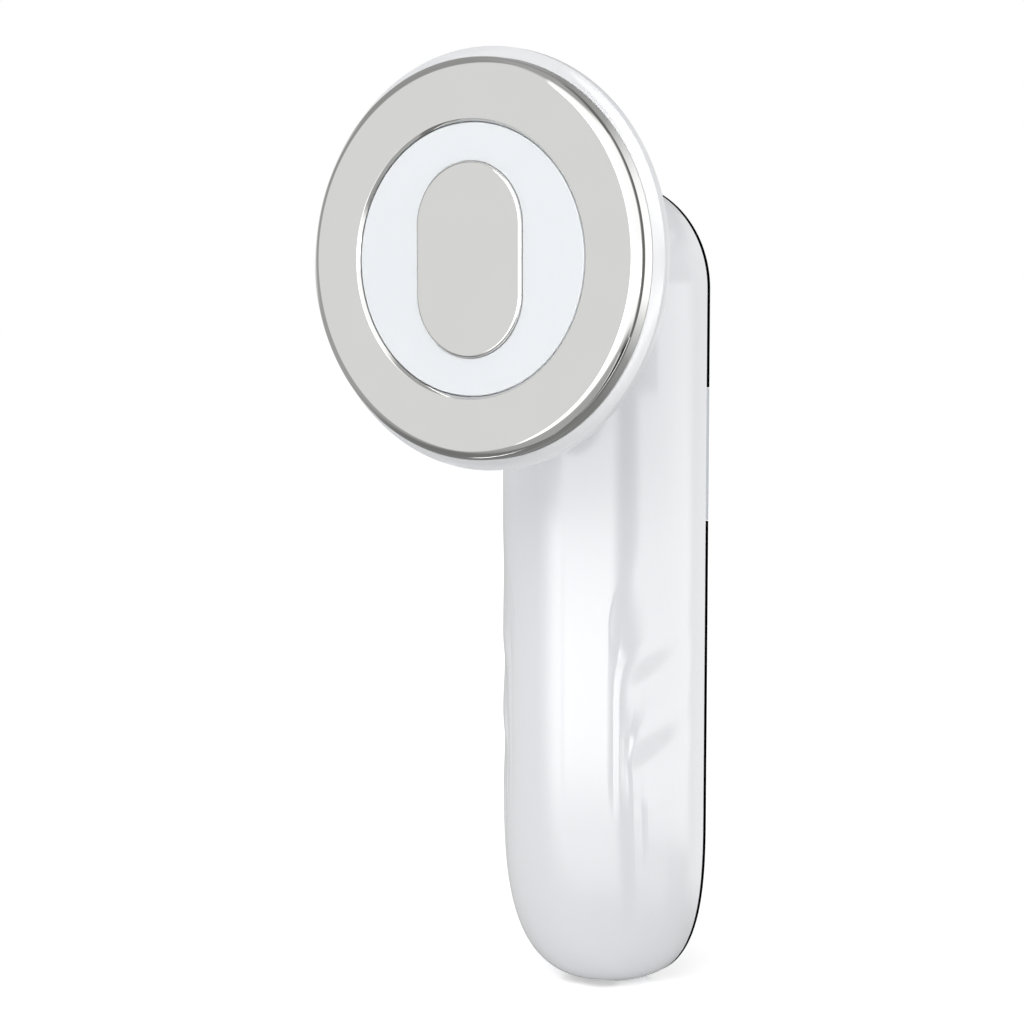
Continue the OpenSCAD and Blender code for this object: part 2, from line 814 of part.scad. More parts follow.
display_size = [17, 11, 2.2];
display_rim = 1;        // by which the frame's window is smaller than the display
display_z = head_height + 1;
key_hole_gap = 0.3;     // by which a key's hole in the frame is larger than in the plate

module frame_holes() {
    for (z = key_z) translate([0, z]) circle(key_r + key_gap + key_hole_gap);
    for (z = post_z, s = [-1, 1]) translate([s * post_x, z]) circle(screw_r + slip);
    translate([0, display_z])
        square([display_size[0] - 2 * display_rim, display_size[1] - 2 * display_rim], center = true);
}

module rear_frame() color(inner_grey) difference() {
    on_back(seam, frame_t) difference() {
        outline(rim_w + slip);
        frame_holes();
    }
    for (z = post_z, s = [-1, 1])
        translate([s * post_x, 0, z]) along_depth(seam - cut, frame_screw_seat, screw_head_r + slip);
}

module frame_seal() color(rubber_dark) on_back(frame_front, seal_t) difference() {
    outline(rim_w + slip);
    outline(wall + slip);
}

module frame_screws() color(steel)
    for (z = post_z, s = [-1, 1]) translate([s * post_x, 0, z]) union() {
        along_depth(seam + frame_screw_recess, frame_screw_seat, screw_head_r);
        along_depth(seam + frame_screw_recess, ledge + frame_screw_l, screw_r);
    }

// The outline between two heights, seamless at its true edge
module outline_between(z0, z1) {
    intersection() {
        outline();
        translate([-2 * grip_half_w, z0]) square([4 * grip_half_w, z1 - z0]);
    }
}

module upper_panel() color(gloss_black)
    on_back(0, panel_t) outline_between(control_high + panel_gap, grip_top + cut);

module lower_panel() color(gloss_black)
    on_back(0, panel_t) outline_between(-cut, control_low - panel_gap);

module control_plate() color(steel)
    on_back(0, panel_t) difference() {
        outline_between(control_low, control_high);
        for (z = key_z) translate([0, z]) circle(key_r + key_gap);
    }

// A round key with a hollow for the fingertip and a flange that keeps it in its hole
module key_shape(z) {
    hollow_r = 16;
    hollow_depth = 0.3;
    translate([0, 0, z]) difference() {
        union() {
            along_depth(key_face, key_flange_front, key_r);
            along_depth(key_shoulder, key_flange_front, key_flange_r);
        }
        translate([0, before_back(key_face + hollow_depth) + hollow_r, 0]) sphere(hollow_r);
    }
}

module power_key() color(chrome) key_shape(key_z[0]);
module level_key() color(chrome) key_shape(key_z[1]);

module key_switches() color(steel) {
    half_w = 2.6;
    plunger_r = 1.2;
    for (z = key_z) translate([0, 0, z]) union() {
        box([-half_w, before_back(board_back), -half_w],
            [half_w, before_back(board_back - switch_h), half_w]);
        along_depth(plunger_top, board_back, plunger_r);
    }
}

module display_module() color(milk)
    box([-display_size[0] / 2, before_back(frame_front + display_size[2]), display_z - display_size[1] / 2],
        [display_size[0] / 2, before_back(frame_front), display_z + display_size[1] / 2]);

// Flat strip from the display down to the main board, beside the upper key
module display_flex() color(copper) {
    strip_w = 3.2;
    strip_t = 0.3;
    left = key_flange_r + 2;
    back = frame_front + 0.8;
    low = board_top - 6;
    union() {
        box([left, before_back(back + strip_t), low],
            [left + strip_w, before_back(back), display_z - display_size[1] / 2]);
        box([left, before_back(board_back), low], [left + strip_w, before_back(back), low + strip_t]);
    }
}

// -------------------------------------------------------- electronics

module main_board() color(board_green)
    on_back(board_back, board_t) difference() {
        translate([-board_half_w, board_low]) square([2 * board_half_w, board_top - board_low]);
        for (z = tray_screw_z) translate([0, z]) circle(screw_r + slip);
        for (s = [-1, 1]) translate([s * board_half_w, board_low])
            rotate(45) square(board_corner, center = true);
    }

board_corner = 5;       // square cut off each lower corner

module chip(x, z, w, h, t) {
    box([x - w / 2, before_back(board_back), z - h / 2], [x + w / 2, before_back(board_back - t), z + h / 2]);
}

// Chips on the board's back, [x, height, width, length, thickness]
chips = [
    [-3.5, 70, 7, 7, 1], [5.5, 72, 4, 5, 1], [5.5, 64, 4, 3, 0.9], [-5, 59, 5, 4, 1],
    [-6, 14, 3, 2, 0.8], [-6, 19, 3, 2, 0.8], [-6, 24, 3, 2, 0.8]
];

module board_chips() color(rubber_dark)
    for (c = chips) chip(c[0], c[1], c[2], c[3], c[4]);

module boost_coil() color(copper) {
    place = [3.6, 0, 48];
    core_r = 2.6;
    flange_r = 3.4;
    flange_t = 0.4;
    top = board_back - 2.2;
    translate(place) union() {
        along_depth(top, board_back, core_r);
        along_depth(board_back - flange_t, board_back, flange_r);
        along_depth(top, top + flange_t, flange_r);
    }
}

module buzzer() color(rubber_dark) {
    place = [-4.6, 0, 40];
    radius = 4;
    hole_r = 0.8;
    hole_depth = 0.9;
    top = board_back - 2.1;
    translate(place) difference() {
        along_depth(top, board_back, radius);
        along_depth(top - cut, top + hole_depth, hole_r);
    }
}

module battery_cell() color(steel)
    box([-cell_w / 2, before_back(cell_front), cell_low], [cell_w / 2, before_back(cell_back), cell_high]);

// Small protection board on the cell's upper end
module battery_guard() color(board_green) {
    half_w = cell_w / 2 - guard_inset[0];
    box([-half_w, before_back(cell_front - guard_inset[1]), cell_high],
        [half_w, before_back(cell_back + guard_inset[1]), cell_high + guard_h]);
}

// Open box screwed to the main board; its ribs reach to the front shell
module battery_tray() color(inner_grey) difference() {
    notch_half_w = 0.8;
    union() {
        box([-tray_half_w, before_back(tray_front), tray_low],
            [tray_half_w, before_back(board_front), tray_high]);
        for (s = [-1, 1]) translate([s * rib_x, 0, 0])
            box([-rib_w / 2, before_back(rib_front), tray_low],
                [rib_w / 2, before_back(tray_front), tray_high]);
        tray_lug(tray_screw_z[0] - tray_lug_half_w / 2, tray_low);
        tray_lug(tray_high, tray_screw_z[1] + tray_lug_half_w / 2);
    }
    box([-cell_w / 2 - slip, before_back(cell_front), tray_low + tray_wall],
        [cell_w / 2 + slip, before_back(board_front) + cut, tray_high - tray_wall]);
    for (s = [-1, 1]) translate([s * battery_lead_x, 0, 0])
        box([-notch_half_w, before_back(battery_lead_d + notch_half_w), tray_high - tray_wall - cut],
            [notch_half_w, before_back(board_front) + cut, tray_high + cut]);
    for (z = tray_screw_z) translate([0, 0, z])
        along_depth(board_front - cut, board_front + tray_screw_l + tip_gap, screw_r);
}

module tray_lug(low, high) {
    box([-tray_lug_half_w, before_back(board_front + tray_lug_t), low],
        [tray_lug_half_w, before_back(board_front), high]);
}

module tray_screws() color(steel)
    for (z = tray_screw_z) translate([0, 0, z]) union() {
        along_depth(board_back - tray_screw_head_h, board_back, screw_head_r);
        along_depth(board_back - tray_screw_head_h, board_front + tray_screw_l, screw_r);
    }

module in_socket(z) {
    translate([0, before_back(socket_d), socket_mouth + z]) children();
}

// The socket's outline, larger or smaller all round by more
module socket_2d(more) {
    slot_2d(socket_w + 2 * more, socket_h + 2 * more);
}

module charge_socket() color(steel) difference() {
    in_socket(0) linear_extrude(socket_l) socket_2d(0);
    in_socket(-cut) linear_extrude(socket_l - 2 * socket_sheet + cut) socket_2d(-socket_sheet);
}

module socket_tongue() color(rubber_dark) {
    tongue_w = 6.7;
    tongue_t = 0.7;
    tongue_recess = 0.8;
    base_h = 1.4;
    base_low = socket_l - 2 * socket_sheet - base_h;
    union() {
        in_socket(tongue_recess) translate([-tongue_w / 2, -tongue_t / 2, 0])
            cube([tongue_w, tongue_t, base_low + base_h / 2 - tongue_recess]);
        in_socket(base_low) linear_extrude(base_h) socket_2d(-socket_sheet - seal_slip);
    }
}

module socket_seal() color(rubber_dark) difference() {
    in_socket(-slip) linear_extrude(socket_seal_h) socket_2d(socket_room - seal_slip);
    in_socket(-slip - cut) linear_extrude(socket_seal_h + 2 * cut) socket_2d(seal_slip);
}

// -------------------------------------------------------------- leads

lead_r = 0.45;
lead_sides = 8;

// Smooth curve through hand-chosen points
function curve_point(p, i, t) =
    let (
        n = len(p) - 1,
        a = p[max(0, i - 1)], b = p[i], c = p[i + 1], d = p[min(n, i + 2)]
    )
    0.5 * (2 * b + (c - a) * t + (2 * a - 5 * b + 4 * c - d) * t * t
        + (3 * b - a - 3 * c + d) * t * t * t);

function smooth(p, per) = concat(
    [for (i = [0:len(p) - 2], k = [0:per - 1]) curve_point(p, i, k / per)],
    [p[len(p) - 1]]
);

function unit(v) = v / norm(v);

// A round lead along the points p, with its ends square to its path
module lead(p) {
    n = len(p);
    dirs = [for (i = [0:n - 1]) unit(p[min(n - 1, i + 1)] - p[max(0, i - 1)])];
    rings = [
        for (i = [0:n - 1])
            let (u = unit(cross(dirs[i], [1, 0.02, 0.03])), v = cross(dirs[i], u))
            for (k = [0:lead_sides - 1])
                p[i] + lead_r * (u * cos(360 * k / lead_sides) + v * sin(360 * k / lead_sides))
    ];
    faces = concat(
        [[for (k = [0:lead_sides - 1]) k]],
        [for (i = [0:n - 2], k = [0:lead_sides - 1])
            let (a = i * lead_sides + k, b = i * lead_sides + (k + 1) % lead_sides)
            each [[a, a + lead_sides, b + lead_sides], [a, b + lead_sides, b]]],
        [[for (k = [lead_sides - 1:-1:0]) (n - 1) * lead_sides + k]]
    );
    polyhedron(rings, faces);
}

// Places for the leads' points, [x, distance behind the face, height above the head's axis]
function head_place(q) = [q[0], behind_face(q[1]), head_height + q[2]];

lead_end_d = device_depth - board_back + lead_r + seal_slip;
stem_out = device_depth - stem_end + 1.4;   // where the leads turn down behind the stem

// A lead ends on the main board's back, beside x
function lead_tail(x) = [
    [x, cup_back - 3, -8], [x, cup_back + 6, -9.5], [x, stem_out - 2.5, -10.4],
    [x, stem_out, -13.4], [x, stem_out - 0.1, -18], [x, lead_end_d + 0.2, -21.4], [x, lead_end_d, -23]
];

module routed(start, x) {
    lead(smooth([for (q = concat(start, lead_tail(x))) head_place(q)], 3));
}

module electrode_leads() color("firebrick") {
    start = pin_end + lead_r;
    pin_x = ring_pin_r * cos(ring_pin_start);
    pin_down = ring_pin_r * sin(ring_pin_start);
    routed([[0, start, 0], [-0.6, start + 0.6, -3], [-1, start + 4, -6]], -1);
    routed([[pin_x, start, -pin_down], [pin_x - 3, start, -pin_down + 2], [9, start + 0.9, -8],
            [3, start + 5, -7.4]], 0.4);
}

module light_leads() color("gold") {
    out = plate_back + lead_r + 0.2;
    for (s = [-1, 1])
        routed([[s * lead_hole_x, plate_front, -lead_hole_y],
                [s * lead_hole_x, plate_back + 0.6, -lead_hole_y],
                [s * 3, out + 1.4, -lead_hole_y + 2.2], [s * 3.4, out + 3.4, -13], [s * 3.6, out + 6, -9.5]], s * 3.6);
}

module motor_leads() color("royalblue") {
    for (s = [-1, 1])
        routed([[motor_x - lead_r, motor_d + s, motor_up], [motor_x - 1.6, motor_d + s, motor_up - 2],
                [motor_x - 0.6, motor_d + 2 + s, motor_up - 6.5], [-6.2 - 0.8 * s, motor_d + 4, -4]],
               -5.7 - 0.7 * s);
}

module battery_leads() color("crimson") {
    top = cell_high + guard_h;
    board_d = board_front + lead_r + seal_slip;
    for (s = [-1, 1]) lead(smooth([
        [s * battery_lead_x, before_back(battery_lead_d), top],
        [s * battery_lead_x, before_back(battery_lead_d), top + 1.6],
        [s * 5.4, before_back(battery_lead_d - 0.8), top + 4],
        [s * 5.6, before_back(board_d + 1.2), top + 6.4],
        [s * 5.6, before_back(board_d), top + 9], [s * 5.6, before_back(board_d), top + 11]
    ], 3));
}

// ------------------------------------------------------------ assembly

ring_electrode();
centre_electrode();
light_window();
ring_gasket();
centre_gasket();
bezel_ring();
bezel_seal();
electrode_carrier();
led_board();
leds();
contact_pins();
carrier_screws();
head_cup();
stem_seal();
stem_nut();
motor_can();
motor_saddle();
eccentric_weight();
front_shell();
rear_frame();
frame_seal();
frame_screws();
upper_panel();
control_plate();
lower_panel();
power_key();
level_key();
key_switches();
display_module();
display_flex();
main_board();
board_chips();
boost_coil();
buzzer();
battery_cell();
battery_guard();
battery_tray();
tray_screws();
charge_socket();
socket_tongue();
socket_seal();
electrode_leads();
light_leads();
motor_leads();
battery_leads();
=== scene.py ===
"""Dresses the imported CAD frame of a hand-held facial toning device for rendering.

The head carries a polished ring electrode, a milky light window and a long
centre electrode. The grip is a white one-piece shell with finger dishes and a
flat back of two black gloss panels around a satin plate with two keys. Sizes
are in millimetres in the classes and in metres in Blender. +Z runs up the
grip, the electrode face looks towards -Y and the flat back towards +Y.
"""

from __future__ import annotations

import logging
import math
from dataclasses import dataclass, field
from enum import Enum
from typing import Any, Iterable, Sequence

import bmesh
import bpy
import numpy as np
from mathutils import Matrix, Vector

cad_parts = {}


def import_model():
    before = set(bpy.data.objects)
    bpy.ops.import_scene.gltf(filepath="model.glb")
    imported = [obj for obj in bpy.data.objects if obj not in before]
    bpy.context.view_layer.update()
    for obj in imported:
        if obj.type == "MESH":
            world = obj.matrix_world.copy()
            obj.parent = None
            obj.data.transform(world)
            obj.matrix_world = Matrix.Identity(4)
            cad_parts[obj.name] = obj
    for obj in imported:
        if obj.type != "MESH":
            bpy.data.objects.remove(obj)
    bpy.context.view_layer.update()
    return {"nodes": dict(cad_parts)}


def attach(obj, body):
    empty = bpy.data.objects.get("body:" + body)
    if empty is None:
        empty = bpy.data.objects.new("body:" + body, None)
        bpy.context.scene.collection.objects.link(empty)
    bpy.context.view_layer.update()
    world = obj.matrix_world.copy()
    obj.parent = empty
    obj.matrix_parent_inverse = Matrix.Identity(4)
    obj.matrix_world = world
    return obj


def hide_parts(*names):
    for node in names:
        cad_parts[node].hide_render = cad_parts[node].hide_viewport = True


LOG = logging.getLogger("toning_device")
MM = 0.001
WHITE = (1.0, 1.0, 1.0, 1.0)
OUTWARDS = Vector((0, 1, 0))

# Meshes: what is welded, dropped, shaded flat, sharp or counted as nought
WELD = 1e-7
SHORTEST_EDGE = 1e-8
FLAT_FACE = 0.99999
SHARP_ANGLE = 32.0
NOUGHT = 1e-6

Loop = np.ndarray
Point2 = tuple[float, float]
Point3 = tuple[float, float, float]


class Body(Enum):
    """Bodies of the frame that a piece can ride on."""

    DEVICE = "device"
    POWER_KEY = "power_key"
    LEVEL_KEY = "level_key"


class Ends(Enum):
    """What a skin of loops does at its first and last loop."""

    JOINED = "joined"
    CAPPED = "capped"
    OPEN = "open"


# ------------------------------------------------------------------ helpers


def linear(hex_code: str) -> tuple[float, float, float, float]:
    """Turns an sRGB hex colour to linear.

    Args:
        hex_code: colour such as "#F2F3F4".

    Returns:
        Red, green, blue and alpha, linear.
    """
    parts = [int(hex_code[i : i + 2], 16) / 255 for i in (1, 3, 5)]
    tones = [c / 12.92 if c <= 0.04045 else ((c + 0.055) / 1.055) ** 2.4 for c in parts]
    return (tones[0], tones[1], tones[2], 1.0)


def per_mm(size: float) -> float:
    """Pattern scale for object coordinates in metres, from a size in millimetres."""
    return 1000.0 / size


def add_node(
    tree: bpy.types.NodeTree,
    kind: str,
    inputs: dict[str | int, Any] | None = None,
    **settings: Any,
) -> bpy.types.Node:
    """Adds a node with its settings and links.

    Args:
        tree: tree that the node goes into.
        kind: Blender's type name of the node.
        inputs: socket name or index to a value, or to an output socket to link.
        **settings: attributes of the node.

    Returns:
        The new node.
    """
    node = tree.nodes.new(kind)
    for name, value in settings.items():
        setattr(node, name, value)
    for key, value in (inputs or {}).items():
        socket = node.inputs[key]
        if isinstance(value, bpy.types.NodeSocket):
            tree.links.new(value, socket)
        else:
            socket.default_value = value
    return node


def blank_material(name: str) -> bpy.types.Material:
    """Makes a material with an empty tree.

    Args:
        name: its name.

    Returns:
        The new material.
    """
    material = bpy.data.materials.new(name)
    material.use_nodes = True
    material.node_tree.nodes.clear()
    return material


def add_object(name: str, data: bpy.types.ID) -> bpy.types.Object:
    """Puts a mesh, curve, lamp or camera into the scene.

    Args:
        name: name of the object.
        data: what it shows.

    Returns:
        The new object.
    """
    piece = bpy.data.objects.new(name, data)
    bpy.context.scene.collection.objects.link(piece)
    return piece


def direction(azimuth: float, elevation: float) -> Vector:
    """A direction outwards from the object.

    Args:
        azimuth: angle from the front (-Y) towards +X, in degrees.
        elevation: angle above the horizon, in degrees.

    Returns:
        The direction, one unit long.
    """
    a, e = math.radians(azimuth), math.radians(elevation)
    return Vector((math.sin(a) * math.cos(e), -math.cos(a) * math.cos(e), math.sin(e)))


def arc(centre: Point2, radius: float, start: float, stop: float, steps: int) -> list[Point2]:
    """Points of an arc, both ends included.

    Args:
        centre: centre of the arc.
        radius: its radius.
        start: first angle in degrees.
        stop: last angle in degrees.
        steps: number of steps.

    Returns:
        The points in order.
    """
    angles = np.radians(np.linspace(start, stop, steps + 1))
    return [(centre[0] + radius * math.cos(a), centre[1] + radius * math.sin(a)) for a in angles]


def ease(value: np.ndarray | float) -> np.ndarray:
    """Smooth step from 0 to 1."""
    u = np.clip(value, 0.0, 1.0)
    return u * u * (3.0 - 2.0 * u)


def shade(mesh: bpy.types.Mesh, sharp_angle: float, flat_axis: Vector | None) -> None:
    """Shades a mesh smooth, with sharp edges at corners and around flat faces.

    Args:
        mesh: mesh to shade.
        sharp_angle: angle in degrees from which an edge is sharp.
        flat_axis: normal of flat faces that keep a plain, undistorted shine.
    """
    bm = bmesh.new()
    bm.from_mesh(mesh)
    bmesh.ops.remove_doubles(bm, verts=bm.verts, dist=WELD)
    bmesh.ops.dissolve_degenerate(bm, edges=bm.edges, dist=SHORTEST_EDGE)
    bmesh.ops.recalc_face_normals(bm, faces=bm.faces)
    limit = math.radians(sharp_angle)
    for face in bm.faces:
        face.smooth = True
    for edge in bm.edges:
        faces = edge.link_faces
        if len(faces) != 2:
            continue
        sharp = faces[0].normal.angle(faces[1].normal, 0.0) > limit
        if flat_axis is not None:
            flats = [abs(f.normal.dot(flat_axis)) > FLAT_FACE for f in faces]
            sharp = sharp or flats[0] != flats[1]
        edge.smooth = not sharp
    bm.to_mesh(mesh)
    bm.free()


def loft(
    name: str,
    loops: Sequence[Loop],
    ends: Ends = Ends.JOINED,
    sharp_angle: float = SHARP_ANGLE,
    flat_axis: Vector | None = OUTWARDS,
) -> bpy.types.Object:
    """Skins a row of loops with quads.

    Args:
        name: name of the piece.
        loops: arrays of the same number of points, in millimetres.
        ends: joins the last loop to the first, caps both with fans, or leaves them open.
        sharp_angle: angle in degrees from which an edge is sharp.
        flat_axis: normal of the piece's flat faces.

    Returns:
        The new object.
    """
    count = len(loops[0])
    points = np.concatenate(loops)
    faces: list[tuple[int, ...]] = []
    spans = len(loops) if ends is Ends.JOINED else len(loops) - 1
    for i in range(spans):
        a, b = i * count, ((i + 1) % len(loops)) * count
        faces += [(a + j, a + (j + 1) % count, b + (j + 1) % count, b + j) for j in range(count)]
    if ends is Ends.CAPPED:
        for first in (0, (len(loops) - 1) * count):
            points = np.vstack([points, points[first : first + count].mean(axis=0)])
            faces += [(first + j, first + (j + 1) % count, len(points) - 1) for j in range(count)]
    mesh = bpy.data.meshes.new(name)
    mesh.from_pydata([tuple(p) for p in points * MM], [], faces)
    shade(mesh, sharp_angle, flat_axis)
    return add_object(name, mesh)


def plate(
    name: str, outline: Sequence[Point2], holes: Sequence[Sequence[Point2]], front: float, back: float, edge: float
) -> bpy.types.Object:
    """A flat plate in X and Z with rounded edges.

    Args:
        name: name of the piece.
        outline: outer line in X and Z.
        holes: lines of its holes.
        front: Y of its front face.
        back: Y of its back face.
        edge: radius of the rounded edges.

    Returns:
        The new object.
    """
    curve = bpy.data.curves.new(name, "CURVE")
    curve.dimensions = "2D"
    curve.fill_mode = "BOTH"
    curve.bevel_depth = edge * MM
    curve.bevel_resolution = 3
    curve.offset = -edge * MM
    curve.extrude = (abs(back - front) / 2 - edge) * MM
    for line in [outline, *holes]:
        spline = curve.splines.new("POLY")
        spline.points.add(len(line) - 1)
        for point, (x, z) in zip(spline.points, line):
            point.co = (x * MM, z * MM, 0.0, 1.0)
        spline.use_cyclic_u = True
    holder = add_object(name + ".line", curve)
    graph = bpy.context.evaluated_depsgraph_get()
    mesh = bpy.data.meshes.new_from_object(holder.evaluated_get(graph))
    bpy.data.objects.remove(holder)
    mesh.name = name
    mesh.transform(Matrix.Translation((0, (front + back) / 2 * MM, 0)) @ Matrix.Rotation(math.radians(90), 4, "X"))
    shade(mesh, SHARP_ANGLE, OUTWARDS)
    return add_object(name, mesh)


# ----------------------------------------------------------------- finishes


@dataclass(frozen=True)
class Surface:
    """What a finish works on: a material's tree, its Principled node and object coordinates."""

    tree: bpy.types.NodeTree
    shader: bpy.types.Node
    place: bpy.types.NodeSocket

    def roughen(self, pattern: bpy.types.NodeSocket, rough: Point2) -> None:
        """Lets a pattern vary the roughness.

        Args:
            pattern: value from 0 to 1.
            rough: roughness where the pattern is 0 and 1.
        """
        limits = {"Value": pattern, "To Min": rough[0], "To Max": rough[1]}
        spread = add_node(self.tree, "ShaderNodeMapRange", limits)
        self.tree.links.new(spread.outputs[0], self.shader.inputs["Roughness"])

    def relief(self, height: bpy.types.NodeSocket, depth: float) -> None:
        """Adds a bump.

        Args:
            height: height from 0 to 1.
            depth: its depth in millimetres.
        """
        bump = add_node(self.tree, "ShaderNodeBump", {"Height": height, "Distance": depth * MM, "Strength": 1.0})
        self.tree.links.new(bump.outputs[0], self.shader.inputs["Normal"])


@dataclass(frozen=True)
class Finish:
    """A finish: the plain shader that every material starts from.

    Pattern sizes and depths of every finish are in millimetres. A stretch multiplies
    the pattern's pace along X, Y and Z, so a value below 1 draws it out.
    """

    name: str
    colour: str
    roughness: float
    metallic: float = 0.0
    ior: float = 1.5

    def material(self) -> bpy.types.Material:
        """Makes the material, or returns it if it is there already.

        Returns:
            The material of this finish.
        """
        found = bpy.data.materials.get(self.name)
        if found:
            return found
        material = blank_material(self.name)
        tree = material.node_tree
        settings: dict[str | int, Any] = {
            "Base Color": linear(self.colour),
            "Roughness": self.roughness,
            "Metallic": self.metallic,
        }
        if not self.metallic:
            settings["IOR"] = self.ior
        shader = add_node(tree, "ShaderNodeBsdfPrincipled", settings)
        add_node(tree, "ShaderNodeOutputMaterial", {"Surface": shader.outputs[0]})
        place = add_node(tree, "ShaderNodeTexCoord").outputs["Object"]
        self.detail(Surface(tree, shader, place))
        return material

    def detail(self, surface: Surface) -> None:
        """Adds what makes the finish; each finish has its own.

        Args:
            surface: the material being made.
        """


@dataclass(frozen=True)
class TonedFinish(Finish):
    """A finish whose colour and roughness follow a pattern.

    The tint is the colour where the pattern is 0; the roughness is given for 0 and 1.
    """

    tint: str = "#000000"
    rough: Point2 = (0.0, 1.0)

    def vary(self, surface: Surface, pattern: bpy.types.NodeSocket) -> None:
        """Lets a pattern vary the colour and the roughness.

        Args:
            surface: the material being made.
            pattern: value from 0 to 1.
        """
        tones = {0: pattern, 6: linear(self.tint), 7: linear(self.colour)}
        mix = add_node(surface.tree, "ShaderNodeMix", tones, data_type="RGBA")
        surface.tree.links.new(mix.outputs[2], surface.shader.inputs["Base Color"])
        surface.roughen(pattern, self.rough)


@dataclass(frozen=True)
class MouldedAbs(TonedFinish):
    """Gloss ABS from a polished mould: a clean white with clear, even highlights."""

    name: str = "Moulded_Gloss_ABS"
    colour: str = "#EDEEF1"
    roughness: float = 0.14
    tint: str = "#EBECEF"
    rough: Point2 = (0.13, 0.15)
    flow: float = 30.0
    wave: float = 3.0
    wave_depth: float = 0.0006
    coat: float = 0.1
    coat_roughness: float = 0.05

    def detail(self, surface: Surface) -> None:
        """Flow of the melt as a faint tone, and the mould's slight waviness.

        Args:
            surface: the material being made.
        """
        tree, place, inputs = surface.tree, surface.place, surface.shader.inputs
        # Melt flow shows as very faint clouds about 30 mm long
        flow = add_node(tree, "ShaderNodeTexNoise", {"Vector": place, "Scale": per_mm(self.flow), "Detail": 2.0})
        self.vary(surface, flow.outputs["Fac"])
        # Polished mould steel leaves waves of about 3 mm, a fraction of a micrometre deep
        wave = add_node(tree, "ShaderNodeTexNoise", {"Vector": place, "Scale": per_mm(self.wave), "Detail": 1.0})
        surface.relief(wave.outputs["Fac"], self.wave_depth)
        inputs["Coat Weight"].default_value = self.coat
        inputs["Coat Roughness"].default_value = self.coat_roughness


@dataclass(frozen=True)
class PolishedSteel(TonedFinish):
    """Stainless steel sheet, mirror polished: sharp reflections, hair marks only up close."""

    name: str = "Mirror_Polished_Stainless"
    colour: str = "#D5D5D3"
    roughness: float = 0.05
    metallic: float = 1.0
    tint: str = "#D2D2D0"
    rough: Point2 = (0.04, 0.07)
    haze: float = 12.0
    mark: float = 0.15
    mark_depth: float = 0.00002
    stretch: Point3 = (1.0, 1.0, 0.08)

    def detail(self, surface: Surface) -> None:
        """Buffing haze and hair-fine marks.

        Args:
            surface: the material being made.
        """
        tree, place = surface.tree, surface.place
        haze = add_node(tree, "ShaderNodeTexNoise", {"Vector": place, "Scale": per_mm(self.haze), "Detail": 3.0})
        self.vary(surface, haze.outputs["Fac"])
        # Buffing marks of 0.02 mm, drawn 0.15 mm wide so that they show up close
        drawn = add_node(tree, "ShaderNodeMapping", {"Vector": place, "Scale": self.stretch}).outputs[0]
        marks = add_node(tree, "ShaderNodeTexNoise", {"Vector": drawn, "Scale": per_mm(self.mark), "Detail": 1.0})
        surface.relief(marks.outputs["Fac"], self.mark_depth)


@dataclass(frozen=True)
class OpalPolycarbonate(TonedFinish):
    """Milky polycarbonate that spreads light: soft bluish white with a clear gloss skin."""

    name: str = "Opal_Polycarbonate"
    colour: str = "#F3F7FC"
    roughness: float = 0.3
    ior: float = 1.58
    tint: str = "#F0F4FA"
    rough: Point2 = (0.28, 0.34)
    cloud: float = 15.0
    milk: float = 0.35
    wander: float = 1.5
    wander_tones: Point3 = (1.0, 1.05, 1.15)

    def detail(self, surface: Surface) -> None:
        """Light that wanders 1.5 mm inside, and the pigment's faint clouds.

        Args:
            surface: the material being made.
        """
        inputs = surface.shader.inputs
        inputs["Subsurface Weight"].default_value = self.milk
        inputs["Subsurface Radius"].default_value = self.wander_tones
        inputs["Subsurface Scale"].default_value = self.wander * MM
        settings = {"Vector": surface.place, "Scale": per_mm(self.cloud), "Detail": 2.0}
        cloud = add_node(surface.tree, "ShaderNodeTexNoise", settings)
        self.vary(surface, cloud.outputs["Fac"])


@dataclass(frozen=True)
class GlossBlackAcrylic(TonedFinish):
    """Back-painted acrylic sheet: deep black under a clear, sharp gloss."""

    name: str = "Back_Painted_Black_Acrylic"
    colour: str = "#0A0B0C"
    roughness: float = 0.07
    ior: float = 1.49
    tint: str = "#08090A"
    rough: Point2 = (0.05, 0.1)
    haze: float = 9.0

    def detail(self, surface: Surface) -> None:
        """Faint wiping haze in the gloss.

        Args:
            surface: the material being made.
        """
        settings = {"Vector": surface.place, "Scale": per_mm(self.haze), "Detail": 3.0}
        haze = add_node(surface.tree, "ShaderNodeTexNoise", settings)
        self.vary(surface, haze.outputs["Fac"])


@dataclass(frozen=True)
class BlackInk(TonedFinish):
    """Screen ink that seals the cut edges of the acrylic: dead black, hardly any shine."""

    name: str = "Black_Screen_Ink"
    colour: str = "#050506"
    roughness: float = 0.6
    tint: str = "#030304"
    rough: Point2 = (0.55, 0.7)
    mesh: float = 0.2
    shine: float = 0.0

    def detail(self, surface: Surface) -> None:
        """Mesh of the screen in the dried ink.

        Args:
            surface: the material being made.
        """
        surface.shader.inputs["Specular IOR Level"].default_value = self.shine
        settings = {"Vector": surface.place, "Scale": per_mm(self.mesh), "Detail": 1.0}
        grain = add_node(surface.tree, "ShaderNodeTexNoise", settings)
        self.vary(surface, grain.outputs["Fac"])


